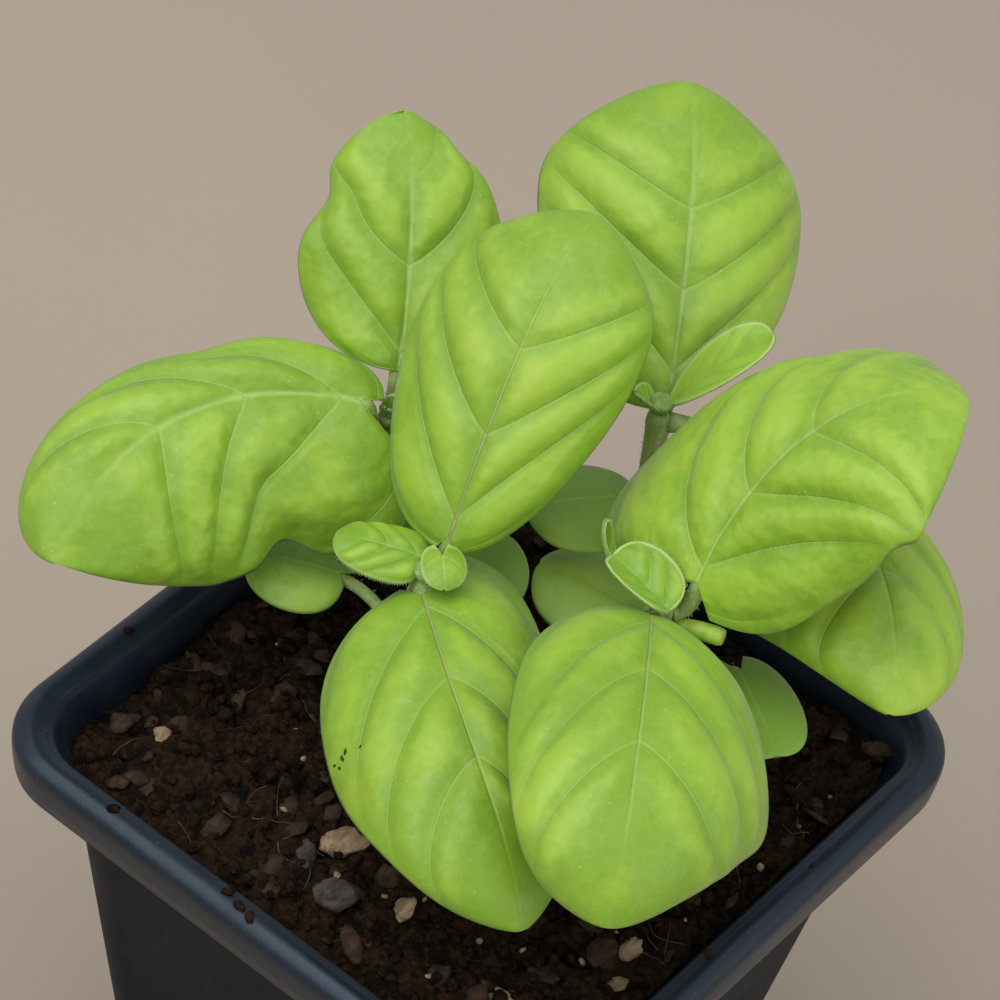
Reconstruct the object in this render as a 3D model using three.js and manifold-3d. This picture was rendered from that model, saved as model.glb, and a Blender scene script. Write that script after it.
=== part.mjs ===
// Potted mammoth basil: four young plants in a square nursery pot.
// Millimetres, +Z up. The origin is the middle of the pot's underside, and the pot's sides face X and Y.
import * as THREE from "three";
import { mergeVertices } from "three/addons/utils/BufferGeometryUtils.js";
import Module from "manifold-3d";

const wasm = await Module();
wasm.setup();

// Pot
const POT_SIDE = 90;
const POT_HEIGHT = 95;
const RIM_WIDTH = 4.6;
const SKIRT_DROP = 7;
const BODY_TOP_HALF = 39.5;
const BODY_FOOT_HALF = 28;
const WALL = 1.4;
const FLOOR = 2;
const SHOULDER_THICKNESS = 1.2;
const RIM_ROUND = 1.8;
const RIM_CORNER = 11;
const FOOT_CORNER = 8;
const CORNER_STEPS = 5;
const DRAIN_RADIUS = 4;
const DRAIN_REACH = 17;

// Soil
const SOIL_TOP = 90;
const SOIL_CLEARANCE = 0.3;
const CRUMB_HEIGHT = 0.9;
const SOIL_RINGS = 9;
const SOIL_SHOULDER = 3;

// Stems
const STEM_RADIUS = 1.5;
const STEM_FOOT_RADIUS = 1.8;
const ROOTED_DEPTH = 20;
const SEAT_GAP = 0.3;
const STEM_SIDES = 10;
const NODE_SWELLING = 0.15;
const STEM_END = 1.4;
const STUB_RADIUS = 1.2;
const STUB_ROOT_DROP = 3;

// Blades
const BLADE_THICKNESS = 0.7;
const VEIN_SWEEP = 0.6;
const VEIN_SWEEP_FALL = 0.4;
const VEIN_START = 0.2;
const VEIN_LAST = 0.5;
const VEIN_GONE = 0.85;
const CREASE_ROUND = 0.05;
const PETIOLE_RADIUS = 1.1;
const SEED_PETIOLE_RADIUS = 0.8;
const PETIOLE_SIDES = 7;
const PETIOLE_STEPS = 5;
const RIB_STEP = 0.12;
const RIB_END = 0.7;
const SEED_RIB_END = 0.35;
const BUD_RADIUS = 1.6;
const LEAF_ROWS = [0, 0.03, 0.11, 0.2, 0.29, 0.38, 0.47, 0.56, 0.65, 0.74, 0.83, 0.91, 0.97, 1];
const LEAF_COLUMNS = 12;
const SMALL_ROWS = [0, 0.05, 0.2, 0.45, 0.7, 0.9, 1];
const SMALL_COLUMNS = 6;

const leafGreen = new THREE.MeshStandardMaterial({ color: 0x86b93a, roughness: 0.55, metalness: 0 });
const cotyledonGreen = new THREE.MeshStandardMaterial({ color: 0x6f9f45, roughness: 0.6, metalness: 0 });
const tipGreen = new THREE.MeshStandardMaterial({ color: 0x9ccb4a, roughness: 0.55, metalness: 0 });
const stemGreen = new THREE.MeshStandardMaterial({ color: 0x9aa860, roughness: 0.6, metalness: 0 });
const potPlastic = new THREE.MeshStandardMaterial({ color: 0x22262c, roughness: 0.55, metalness: 0 });
const peat = new THREE.MeshStandardMaterial({ color: 0x2a1c14, roughness: 0.95, metalness: 0 });

// Each plant's stem: where it leaves the soil, where its leaves part, and the height of its seed leaves.
// The stub is the end of a short side stalk that has lost its leaf.
const PLANTS = {
  a: { foot: [-11, -4], fork: [-9.5, -5, 118], seedLeaves: 106.5 },
  b: { foot: [-33, 9], fork: [-29.2, 10.4, 119], seedLeaves: 107 },
  c: { foot: [-3, 34], fork: [-4.5, 34, 123], seedLeaves: 108 },
  d: { foot: [13, 13], fork: [14.5, 11.5, 120], seedLeaves: 102.5, stub: [22.3, 13.9, 119.6] },
};

// Angles are in degrees. The first of a pair is the leaf's own left half, seen from above with the tip ahead.
// A notch is a side, a share of the length, a depth and a spread. A negative depth is a bulge.
const LEAVES = {
  leaf_a1: {
    plant: "a", base: [-9.8, -0.5, 123.5], length: 44.5, width: [21.5, 16.2],
    heading: 108, swing: -8, pitch: 54, bend: -20, nose: -40, curl: [70, 65],
    shape: [[0.36, 0.28], [0.5, 0.3]], lobe: [2, 2], veins: 4, puff: 0.8, wave: 0.5, waves: 2,
  },
  leaf_a2: {
    plant: "a", base: [-8, -7, 119], length: 48.5, width: [17.5, 19],
    heading: -40, swing: 14, pitch: 8, bend: -33, nose: -40, roll: 5, twist: -14, curl: [50, 70],
    shape: [[0.18, 0.4], [0.3, 0.52]], lobe: [10, 4], veins: 4, puff: 0.8, wave: 0.5, waves: 2,
    notches: [["left", 0.6, 0.25, 0.2]],
  },
  leaf_b1: {
    plant: "b", base: [-30.5, 6, 127], length: 47.8, width: [22.5, 14.2],
    heading: -146, swing: 80, pitch: 5, bend: -36, nose: -12, roll: -29, twist: 14, curl: [50, 75],
    shape: [[0.16, 0.2], [0.34, 0.4]], lobe: [10, 3], veins: 4, puff: 0.9, wave: 0.5, waves: 2,
    notches: [["left", 0.34, 0.14, 0.1], ["right", 0.36, 0.14, 0.08]],
  },
  leaf_b2: {
    plant: "b", base: [-30.8, 13.8, 126.6], length: 33, width: [14.6, 13.6],
    heading: 125, swing: 16, pitch: 44, bend: -8, nose: -20, curl: [35, 35],
    shape: [[0.4, 0.5], [0.36, 0.56]], lobe: [0, 2], veins: 3, puff: 0.8, wave: 0.8, waves: 2,
    notches: [["left", 0.68, 0.2, 0.13], ["right", 0.86, 0.14, 0.07]],
  },
  leaf_c1: {
    plant: "c", base: [-5.5, 37, 126], length: 41.5, width: [21.5, 22.5],
    heading: 124, swing: 10, pitch: 42, bend: -14, nose: -40, roll: 5, curl: [60, 70],
    shape: [[0.36, 0.24], [0.5, 0.34]], lobe: [3, 1], veins: 4, puff: 0.8, wave: 0.5, waves: 2,
  },
  leaf_c2: {
    plant: "c", base: [8.5, 43.5, 120.5], length: 43, width: [14.2, 19.5],
    heading: -8, swing: -50, pitch: 8, bend: -25, nose: -30, curl: [60, 60],
    shape: [[0.4, 0.45], [0.4, 0.6]], lobe: [2.5, 2.5], veins: 4, puff: 0.6, wave: 0.4, waves: 2,
  },
  leaf_d1: {
    plant: "d", base: [17, 14, 125.5], length: 43.5, width: [26, 19.5],
    heading: 96, swing: -68, pitch: 58, bend: -36, nose: -45, roll: -6, curl: [55, 45],
    shape: [[0.14, 0.35], [0.25, 0.1]], lobe: [7, 4], veins: 4, puff: 1, wave: 0.6, waves: 2.5,
    notches: [["left", 0.52, -0.1, 0.12]],
  },
  leaf_d2: {
    plant: "d", base: [15.6, 7.2, 123.4], length: 51.5, width: [26.8, 16.5],
    heading: -57, pitch: 27, bend: -67, nose: -36, roll: -8, curl: [75, 52],
    shape: [[0.22, 0.35], [0.24, 0.33]], lobe: [6, 6], veins: 4, puff: 0.7, wave: 0.3, waves: 2,
    notches: [["left", 0.72, 0.07, 0.14]],
  },
};

const SEED_LEAVES = {
  cotyledon_a1: {
    plant: "a", base: [-24.2, -2, 106.2], heading: -152,
    length: 12, width: [7.2, 8], pitch: 6, lobe: [1, 3],
  },
  cotyledon_a2: {
    plant: "a", base: [-9.8, 0.6, 108.6], heading: 95,
    length: 14, width: [7, 7], pitch: 15,
  },
  cotyledon_b1: {
    plant: "b", base: [-38, 5, 109], heading: -165,
    length: 12, width: [7, 7], pitch: 10,
  },
  cotyledon_b2: {
    plant: "b", base: [-26, 10.8, 110.2], heading: 14,
    length: 10, width: [7, 7], pitch: 10,
  },
  cotyledon_c1: {
    plant: "c", base: [-6, 29.6, 111], heading: -125,
    length: 12, width: [8, 8], pitch: 5,
  },
  cotyledon_c2: {
    plant: "c", base: [1, 38, 107], heading: 55,
    length: 12, width: [7, 7], pitch: 5,
  },
  cotyledon_d1: {
    plant: "d", base: [4.3, 21.8, 104.3], heading: -165,
    length: 13, width: [8, 8], pitch: 8,
  },
  cotyledon_d2: {
    plant: "d", base: [22.2, 20.6, 107.5], heading: -35,
    length: 14.5, width: [6.5, 8], pitch: 8,
  },
};
const SEED_LEAF_FORM = { bend: -10, curl: [25, 25], shape: [[0.3, 0.4], [0.3, 0.4]], lobe: [3.5, 3.5] };

// Two young leaves stand over each fork. A negative curl cups a leaf upwards.
const TIPS = {
  tip_a: [
    {
      base: [-10.9, -3.95, 121.2], heading: -153, length: 11.1, width: [4.6, 6],
      pitch: 8, bend: -20, curl: [45, 40], shape: [[0.22, 0.35], [0.16, 0.35]], puff: 0.45,
    },
    {
      base: [-8.6, -3.3, 122.8], heading: -46, length: 4.4, width: [3.2, 2.8],
      pitch: 0, bend: -40, curl: [30, 30], shape: [[0.25, 0.4], [0.25, 0.4]], lobe: [2.4, 2.2],
    },
  ],
  tip_b: [
    {
      base: [-29, 11, 122], heading: 80, length: 3.2,
      width: [1.7, 1.7], pitch: 80, curl: [-50, -50],
    },
    {
      base: [-28.8, 10, 122], heading: -80, length: 2.8,
      width: [1.5, 1.5], pitch: 80, curl: [-50, -50],
    },
  ],
  tip_c: [
    {
      base: [-4, 35, 125.6], heading: 57, length: 16, width: [3.8, 3.8],
      pitch: 46, curl: [-30, -30], shape: [[0.7, 0.4], [0.7, 0.4]],
    },
    {
      base: [-5.2, 33.2, 125.6], heading: -130, length: 4,
      width: [2.4, 2.4], pitch: 50, curl: [-50, -50],
    },
  ],
  tip_d: [
    {
      base: [16.6, 9.4, 123.2], heading: 180, length: 9.8, width: [4.2, 5],
      pitch: 22, curl: [-60, -60], shape: [[0.55, 0.35], [0.3, 0.35]], puff: 0.35,
    },
    {
      base: [13.6, 11.4, 123.4], heading: -170, swing: -50, length: 14.6, width: [2.4, 2.4],
      pitch: -40, bend: 130, roll: 55, curl: [-40, -40], shape: [[0.8, 0.5], [0.8, 0.5]],
    },
  ],
};
const TIP_FORM = { bend: -15, shape: [[0.4, 0.55], [0.4, 0.55]], veins: 3 };

const radians = THREE.MathUtils.degToRad;
const smoothed = (value, full) => THREE.MathUtils.clamp(value / full, 0, 1);

function solidOf(geometry) {
  const bare = new THREE.BufferGeometry().setAttribute("position", geometry.getAttribute("position"));
  if (geometry.index) bare.setIndex(geometry.index);
  const merged = mergeVertices(bare, 1e-4);
  return new wasm.Manifold(
    new wasm.Mesh({
      numProp: 3,
      vertProperties: new Float32Array(merged.attributes.position.array),
      triVerts: new Uint32Array(merged.index.array),
    }),
  );
}

function geometryOf(solid) {
  const mesh = solid.getMesh();
  const geometry = new THREE.BufferGeometry();
  geometry.setAttribute("position", new THREE.BufferAttribute(mesh.vertProperties, 3));
  geometry.setIndex(new THREE.BufferAttribute(mesh.triVerts, 1));
  return geometry;
}

// A closed surface from rings of equal length, capped at its first and last ring by a fan round a middle point.
function ringSurface(rings, firstMiddle, lastMiddle) {
  const count = rings[0].length;
  const points = [...rings.flat(), firstMiddle, lastMiddle];
  const index = [];
  const first = rings.length * count;
  const last = first + 1;
  for (let k = 0; k < count; k++) {
    const next = (k + 1) % count;
    index.push(first, next, k);
    index.push(last, (rings.length - 1) * count + k, (rings.length - 1) * count + next);
    for (let r = 0; r < rings.length - 1; r++) {
      const here = r * count;
      const above = here + count;
      index.push(here + k, here + next, above + next, here + k, above + next, above + k);
    }
  }
  const geometry = new THREE.BufferGeometry();
  geometry.setAttribute("position", new THREE.Float32BufferAttribute(points.flatMap((p) => p.toArray()), 3));
  geometry.setIndex(index);
  return geometry;
}

// A square with round corners, seen from above, as a ring of points that runs anticlockwise.
function roundedSquare(half, corner, z) {
  const ring = [];
  for (let quarter = 0; quarter < 4; quarter++) {
    const middle = radians(45 + 90 * quarter);
    const reach = (half - corner) * Math.SQRT2;
    for (let step = 0; step <= CORNER_STEPS; step++) {
      const angle = radians(90 * quarter + (90 * step) / CORNER_STEPS);
      const x = reach * Math.cos(middle) + corner * Math.cos(angle);
      const y = reach * Math.sin(middle) + corner * Math.sin(angle);
      ring.push(new THREE.Vector3(x, y, z));
    }
  }
  return ring;
}

// The body's half width and corner radius at a height, outside the wall.
function bodyAt(z) {
  const share = z / (POT_HEIGHT - SKIRT_DROP);
  return {
    half: THREE.MathUtils.lerp(BODY_FOOT_HALF, BODY_TOP_HALF, share),
    corner: THREE.MathUtils.lerp(FOOT_CORNER, RIM_CORNER, share),
  };
}

function insideAt(z) {
  const { half, corner } = bodyAt(z);
  return { half: half - WALL, corner: corner - WALL };
}

function potGeometry() {
  const rim = POT_SIDE / 2;
  const skirt = POT_HEIGHT - SKIRT_DROP;
  const shoulder = skirt + SHOULDER_THICKNESS;
  // Half width, corner radius and height: up the outside, over the rounded lip and down the inside.
  const profile = [
    [BODY_FOOT_HALF - 1, FOOT_CORNER - 1, 0],
    [BODY_FOOT_HALF, FOOT_CORNER, 1],
    [bodyAt(skirt / 2).half, bodyAt(skirt / 2).corner, skirt / 2],
    [bodyAt(shoulder).half, RIM_CORNER, shoulder],
    [rim - 1.6, RIM_CORNER, shoulder],
    [rim - 0.9, RIM_CORNER, skirt],
    [rim - 0.3, RIM_CORNER, skirt + 0.6],
    [rim, RIM_CORNER, POT_HEIGHT - RIM_ROUND],
    [rim - RIM_ROUND / 3, RIM_CORNER, POT_HEIGHT - RIM_ROUND / 3],
    [rim - RIM_ROUND, RIM_CORNER - 1, POT_HEIGHT],
    [rim - 3.2, RIM_CORNER - 2, POT_HEIGHT - 0.3],
    [rim - RIM_WIDTH, RIM_CORNER - 2.4, POT_HEIGHT - 1.5],
    [insideAt(skirt).half, insideAt(skirt).corner, skirt - 1],
    [insideAt(FLOOR).half, insideAt(FLOOR).corner, FLOOR],
  ];
  const rings = profile.map(([half, corner, z]) => roundedSquare(half, corner, z));
  const under = new THREE.Vector3(0, 0, 0);
  const floor = new THREE.Vector3(0, 0, FLOOR);
  let pot = solidOf(ringSurface(rings, under, floor));
  for (const [sx, sy] of [[1, 1], [-1, 1], [-1, -1], [1, -1]]) {
    const drain = new THREE.CylinderGeometry(DRAIN_RADIUS, DRAIN_RADIUS, 3 * FLOOR, 16);
    drain.rotateX(Math.PI / 2);
    drain.translate(sx * DRAIN_REACH, sy * DRAIN_REACH, FLOOR / 2);
    pot = pot.subtract(solidOf(drain));
  }
  return geometryOf(pot);
}

// Low lumps in the surface of the soil, in millimetres.
function crumbs(x, y) {
  const broad = Math.sin(0.21 * x + 1.3) * Math.sin(0.17 * y + 0.4);
  const fine = Math.sin(0.63 * x - 0.31 * y) * Math.sin(0.52 * y + 0.28 * x + 2);
  return CRUMB_HEIGHT * (0.6 * broad + 0.5 * fine);
}

function soilGeometry(stems) {
  const bottom = FLOOR + SOIL_CLEARANCE;
  const levels = [bottom, (bottom + SOIL_TOP) / 2, SOIL_TOP - SOIL_SHOULDER];
  const rings = levels.map((z) => {
    const { half, corner } = insideAt(z);
    return roundedSquare(half - SOIL_CLEARANCE, corner, z);
  });
  const edge = insideAt(SOIL_TOP - SOIL_SHOULDER);
  for (let k = 0; k < SOIL_RINGS; k++) {
    const share = 1 - k / SOIL_RINGS;
    const ring = roundedSquare((edge.half - 0.6) * share, edge.corner * share, SOIL_TOP);
    ring.forEach((p) => (p.z += crumbs(p.x, p.y) - (k === 0 ? 1 : 0)));
    rings.push(ring);
  }
  const under = new THREE.Vector3(0, 0, bottom);
  const middle = new THREE.Vector3(0, 0, SOIL_TOP + crumbs(0, 0));
  let soil = solidOf(ringSurface(rings, under, middle));
  for (const { foot, fork } of stems) {
    const hole = stemTube(foot, fork, STEM_FOOT_RADIUS + SEAT_GAP, SOIL_TOP - ROOTED_DEPTH - SEAT_GAP);
    soil = soil.subtract(solidOf(hole));
  }
  return geometryOf(soil);
}

// A closed round tube through points, with a radius at each.
function tube(points, radii, sides) {
  const curve = new THREE.CatmullRomCurve3(points);
  const steps = points.length - 1;
  const frames = curve.computeFrenetFrames(steps, false);
  const rings = points.map((point, i) => {
    const ring = [];
    for (let k = 0; k < sides; k++) {
      const angle = (2 * Math.PI * k) / sides;
      const offset = frames.normals[i].clone().multiplyScalar(Math.cos(angle) * radii[i]);
      offset.addScaledVector(frames.binormals[i], Math.sin(angle) * radii[i]);
      ring.push(point.clone().add(offset));
    }
    return ring;
  });
  return ringSurface(rings, points[0], points[steps]);
}

// The stem stands straight in the soil, and leans evenly from there to the fork.
function stemAxis(foot, fork, z) {
  const share = Math.max(z - SOIL_TOP, 0) / (fork[2] - SOIL_TOP);
  const x = THREE.MathUtils.lerp(foot[0], fork[0], share);
  const y = THREE.MathUtils.lerp(foot[1], fork[1], share);
  return new THREE.Vector3(x, y, z);
}

// A straight hole's tube along the stem's axis, from a depth to above the soil.
function stemTube(foot, fork, radius, depth) {
  const points = [depth, SOIL_TOP, SOIL_TOP + 4].map((z) => stemAxis(foot, fork, z));
  return tube(points, [radius, radius, radius], STEM_SIDES);
}

function stemGeometry({ foot, fork, seedLeaves, stub }) {
  const profile = [
    [SOIL_TOP - ROOTED_DEPTH, STEM_RADIUS],
    [SOIL_TOP, STEM_FOOT_RADIUS],
    [SOIL_TOP + 6, STEM_RADIUS],
    [seedLeaves - 2, STEM_RADIUS],
    [seedLeaves, STEM_RADIUS + NODE_SWELLING],
    [seedLeaves + 3, STEM_RADIUS],
    [fork[2], STEM_RADIUS],
    [fork[2] + STEM_END, STEM_RADIUS - 0.2],
  ];
  const points = profile.map(([z]) => stemAxis(foot, fork, z));
  const stem = tube(points, profile.map(([, radius]) => radius), STEM_SIDES);
  if (!stub) return stem;
  const path = [stemAxis(foot, fork, fork[2] - STUB_ROOT_DROP), new THREE.Vector3(...stub)];
  return geometryOf(solidOf(stem).add(solidOf(tube(path, [STUB_RADIUS, STUB_RADIUS], PETIOLE_SIDES))));
}

// Direction of the midrib and of the leaf's left at a share of the length.
function leafFrame(leaf, u) {
  const pitch = radians(leaf.pitch + (leaf.bend ?? 0) * u ** 1.5 + (leaf.nose ?? 0) * u ** 5);
  const heading = radians(leaf.heading + (leaf.swing ?? 0) * u);
  const roll = radians((leaf.roll ?? 0) + (leaf.twist ?? 0) * u);
  const ahead = new THREE.Vector3(
    Math.cos(pitch) * Math.cos(heading),
    Math.cos(pitch) * Math.sin(heading),
    Math.sin(pitch),
  );
  const level = new THREE.Vector3(-Math.sin(heading), Math.cos(heading), 0);
  const up = ahead.clone().cross(level);
  const left = level.clone().multiplyScalar(Math.cos(roll)).addScaledVector(up, Math.sin(roll));
  const normal = up.multiplyScalar(Math.cos(roll)).addScaledVector(level, -Math.sin(roll));
  return { ahead, left, normal };
}

// The midrib is walked in fixed short steps, so that coarse and fine grids of a leaf agree.
const WALK = 96;
function midribPoint(leaf, u) {
  leaf.walk ??= [new THREE.Vector3(...leaf.base)];
  while (leaf.walk.length <= WALK) {
    const { ahead } = leafFrame(leaf, (leaf.walk.length - 0.5) / WALK);
    leaf.walk.push(leaf.walk.at(-1).clone().addScaledVector(ahead, leaf.length / WALK));
  }
  const step = Math.min(Math.floor(u * WALK), WALK - 1);
  return leaf.walk[step].clone().lerp(leaf.walk[step + 1], u * WALK - step);
}

const SIDES = ["left", "right"];
function halfWidth(leaf, side, u) {
  const [rise, fall] = leaf.shape[side];
  const widest = rise / (rise + fall);
  let width = leaf.width[side] * (u / widest) ** rise * ((1 - u) / (1 - widest)) ** fall;
  for (const [name, at, depth, spread] of leaf.notches ?? []) {
    if (name !== SIDES[side]) continue;
    width *= 1 - depth * Math.exp(-(((u - at) / spread) ** 2));
  }
  return width;
}

// Height of the swellings between the side veins, as a share. They are creased along each vein, rise more
// steeply past it than before it, and die away towards the tip. root is where on the midrib a vein starts.
function swelling(leaf, u, out) {
  const reach = out ** 1.2;
  const straight = (u - VEIN_SWEEP * reach) / (1 - VEIN_SWEEP_FALL * reach);
  const root = Math.max(straight, 0.35 * straight);
  const phase = root * (leaf.veins ?? 0) - VEIN_START;
  const wave = Math.sin(Math.PI * (phase - Math.floor(phase)) ** 0.8) ** 2;
  const low = Math.sqrt(CREASE_ROUND);
  const height = (Math.sqrt(wave + CREASE_ROUND) - low) / (Math.sqrt(1 + CREASE_ROUND) - low);
  return height * (1 - THREE.MathUtils.smoothstep(root, VEIN_LAST, VEIN_GONE));
}

// A point of the blade's middle surface. t runs from -1 at the right margin to 1 at the left margin.
function bladePoint(leaf, u, t) {
  const side = t >= 0 ? 0 : 1;
  const sign = t >= 0 ? 1 : -1;
  const out = Math.abs(t);
  const { ahead, left, normal } = leafFrame(leaf, u);
  const width = halfWidth(leaf, side, u);
  const curl = radians(leaf.curl[side]);
  const across = (width * Math.sin(curl * out)) / curl;
  let rise = (-width * (1 - Math.cos(curl * out))) / curl;
  const window = smoothed(out, 0.18) * smoothed(1 - out, 0.25) * smoothed(u, 0.1) * smoothed(1 - u, 0.12);
  rise += (leaf.puff ?? 0) * swelling(leaf, u, out) * window;
  rise += (leaf.wave ?? 0) * out ** 3 * Math.sin(2 * Math.PI * ((leaf.waves ?? 0) * u + 0.25 * sign));
  const back = -(leaf.lobe?.[side] ?? 0) * (1 - u) ** 2.5 * out ** 1.3;
  return midribPoint(leaf, u)
    .addScaledVector(left, sign * across)
    .addScaledVector(normal, rise)
    .addScaledVector(ahead, back);
}

// Normals come from neighbouring points of the formula, or from the midrib at the two ends.
function bladeNormal(leaf, u, t) {
  const near = THREE.MathUtils.clamp(u, 0.03, 0.97);
  const e = 0.01;
  const inner = THREE.MathUtils.clamp(t, -1 + e, 1 - e);
  const along = bladePoint(leaf, near + e, inner).sub(bladePoint(leaf, near - e, inner));
  const across = bladePoint(leaf, near, inner + e).sub(bladePoint(leaf, near, inner - e));
  return along.cross(across).normalize();
}

// A blade as one closed solid: two sheets of like triangles, joined along the margin.
function bladeSolid(leaf, rows, columns, thickness) {
  const points = [];
  const number = new Map();
  const place = (i, j, face) => {
    const end = i === 0 || i === rows.length - 1;
    const key = `${i} ${end ? 0 : j} ${face}`;
    if (!number.has(key)) {
      const t = end ? 0 : -1 + (2 * j) / columns;
      const point = bladePoint(leaf, rows[i], t);
      points.push(...point.addScaledVector(bladeNormal(leaf, rows[i], t), (face * thickness) / 2));
      number.set(key, number.size);
    }
    return number.get(key);
  };
  const index = [];
  const triangle = (a, b, c) => {
    if (a !== b && b !== c && a !== c) index.push(a, b, c);
  };
  for (let i = 0; i < rows.length - 1; i++) {
    for (let j = 0; j < columns; j++) {
      const top = [place(i, j, 1), place(i + 1, j, 1), place(i + 1, j + 1, 1), place(i, j + 1, 1)];
      const low = [place(i, j, -1), place(i + 1, j, -1), place(i + 1, j + 1, -1), place(i, j + 1, -1)];
      triangle(top[0], top[1], top[2]);
      triangle(top[0], top[2], top[3]);
      triangle(low[0], low[2], low[1]);
      triangle(low[0], low[3], low[2]);
    }
    for (const [j, turned] of [[0, false], [columns, true]]) {
      const corners = [place(i, j, -1), place(i + 1, j, -1), place(i + 1, j, 1), place(i, j, 1)];
      if (turned) corners.reverse();
      triangle(corners[0], corners[1], corners[2]);
      triangle(corners[0], corners[2], corners[3]);
    }
  }
  const geometry = new THREE.BufferGeometry();
  geometry.setAttribute("position", new THREE.Float32BufferAttribute(points, 3));
  geometry.setIndex(index);
  return solidOf(geometry);
}

// The petiole leaves the stem level, curves to the blade, and goes on under it as the midrib.
function petioleSolid(leaf, plant, height, radius, ribEnd) {
  const axis = stemAxis(plant.foot, plant.fork, height);
  const base = new THREE.Vector3(...leaf.base);
  const outward = base.clone().sub(axis).setZ(0).normalize();
  const start = axis.clone().addScaledVector(outward, STEM_RADIUS + 2 * SEAT_GAP);
  const { ahead, normal } = leafFrame(leaf, 0);
  const span = base.distanceTo(start);
  const end = base.clone().addScaledVector(normal, -0.3 * radius);
  const curve = new THREE.CubicBezierCurve3(
    start,
    start.clone().addScaledVector(outward, span / 3),
    end.clone().addScaledVector(ahead, -span / 3),
    end,
  );
  const points = curve.getPoints(PETIOLE_STEPS);
  const radii = points.map(() => radius);
  for (let u = (2 * RIB_STEP) / 3; u <= ribEnd; u += RIB_STEP) {
    const frame = leafFrame(leaf, u);
    points.push(midribPoint(leaf, u).addScaledVector(frame.normal, -0.45 * radius));
    radii.push(radius * (1 - (0.6 * u) / ribEnd));
  }
  return solidOf(tube(points, radii, PETIOLE_SIDES));
}

function leafGeometry(leaf) {
  const plant = PLANTS[leaf.plant];
  const blade = bladeSolid(leaf, LEAF_ROWS, LEAF_COLUMNS, BLADE_THICKNESS);
  return geometryOf(blade.add(petioleSolid(leaf, plant, plant.fork[2], PETIOLE_RADIUS, RIB_END)));
}

function seedLeafGeometry(leaf) {
  const plant = PLANTS[leaf.plant];
  const whole = { ...SEED_LEAF_FORM, ...leaf };
  const blade = bladeSolid(whole, SMALL_ROWS, SMALL_COLUMNS, BLADE_THICKNESS);
  const petiole = petioleSolid(whole, plant, plant.seedLeaves, SEED_PETIOLE_RADIUS, SEED_RIB_END);
  return geometryOf(blade.add(petiole));
}

// The two young leaves of a tip meet in a small bud that sits on the stem.
function tipGeometry(leaves, plant) {
  const bud = new THREE.SphereGeometry(BUD_RADIUS, 10, 6);
  bud.rotateX(Math.PI / 2);
  const height = plant.fork[2] + STEM_END + SEAT_GAP + BUD_RADIUS;
  bud.translate(...stemAxis(plant.foot, plant.fork, height).toArray());
  let tip = solidOf(bud);
  for (const leaf of leaves) {
    tip = tip.add(bladeSolid({ ...TIP_FORM, ...leaf }, SMALL_ROWS, SMALL_COLUMNS, BLADE_THICKNESS));
  }
  return geometryOf(tip);
}

const basil = new THREE.Group();
function place(name, geometry, material) {
  const mesh = new THREE.Mesh(geometry, material);
  mesh.name = name;
  basil.add(mesh);
}

place("pot", potGeometry(), potPlastic);
place("soil", soilGeometry(Object.values(PLANTS)), peat);
for (const [name, plant] of Object.entries(PLANTS)) {
  place(`stem_${name}`, stemGeometry(plant), stemGreen);
  place(`tip_${name}`, tipGeometry(TIPS[`tip_${name}`], plant), tipGreen);
}
for (const [name, leaf] of Object.entries(LEAVES)) place(name, leafGeometry(leaf), leafGreen);
for (const [name, leaf] of Object.entries(SEED_LEAVES)) place(name, seedLeafGeometry(leaf), cotyledonGreen);

export default basil;
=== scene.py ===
import bmesh
import bpy
import numpy as np
from mathutils import Matrix, Vector, noise


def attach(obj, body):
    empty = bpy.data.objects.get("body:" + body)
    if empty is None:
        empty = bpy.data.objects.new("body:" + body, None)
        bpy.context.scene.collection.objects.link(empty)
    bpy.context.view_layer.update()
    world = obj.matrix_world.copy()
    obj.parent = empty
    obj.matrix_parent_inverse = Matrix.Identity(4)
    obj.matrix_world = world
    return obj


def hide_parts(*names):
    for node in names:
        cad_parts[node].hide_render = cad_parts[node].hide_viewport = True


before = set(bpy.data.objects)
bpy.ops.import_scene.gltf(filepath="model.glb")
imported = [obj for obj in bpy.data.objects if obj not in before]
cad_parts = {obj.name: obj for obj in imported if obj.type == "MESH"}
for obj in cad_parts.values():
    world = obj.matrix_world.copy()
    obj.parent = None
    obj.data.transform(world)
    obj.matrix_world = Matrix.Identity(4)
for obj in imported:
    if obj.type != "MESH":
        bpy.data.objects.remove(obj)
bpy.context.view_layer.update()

MM = 0.001
rng = np.random.default_rng(7)
scene = bpy.context.scene

# Camera, in the pot's frame
CAMERA_AT = (208.6, -333.8, 547.8)
CAMERA_RIGHT = (0.7633, 0.6348, 0.1200)
CAMERA_UP = (-0.5287, 0.5070, 0.6808)
CAMERA_BACK = (0.3713, -0.5831, 0.7226)
FOCAL_PIXELS = 4790
IMAGE_PIXELS = 1000
SENSOR_WIDTH = 36

# Pot
POT_SIDE = 90
POT_HEIGHT = 95
RIM_WIDTH = 4.6
SKIRT_DROP = 7
BODY_TOP_HALF = 39.5
BODY_FOOT_HALF = 28
WALL = 1.4
FLOOR = 2
SHOULDER_THICKNESS = 1.2
RIM_ROUND = 1.8
RIM_CORNER = 11
FOOT_CORNER = 8
CORNER_STEPS = 14
DRAIN_RADIUS = 4
DRAIN_REACH = 17
SHARP_DEGREES = 38

# Soil
SOIL_TOP = 90
CRUMB_HEIGHT = 0.9
SOIL_GRID = 230

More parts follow.
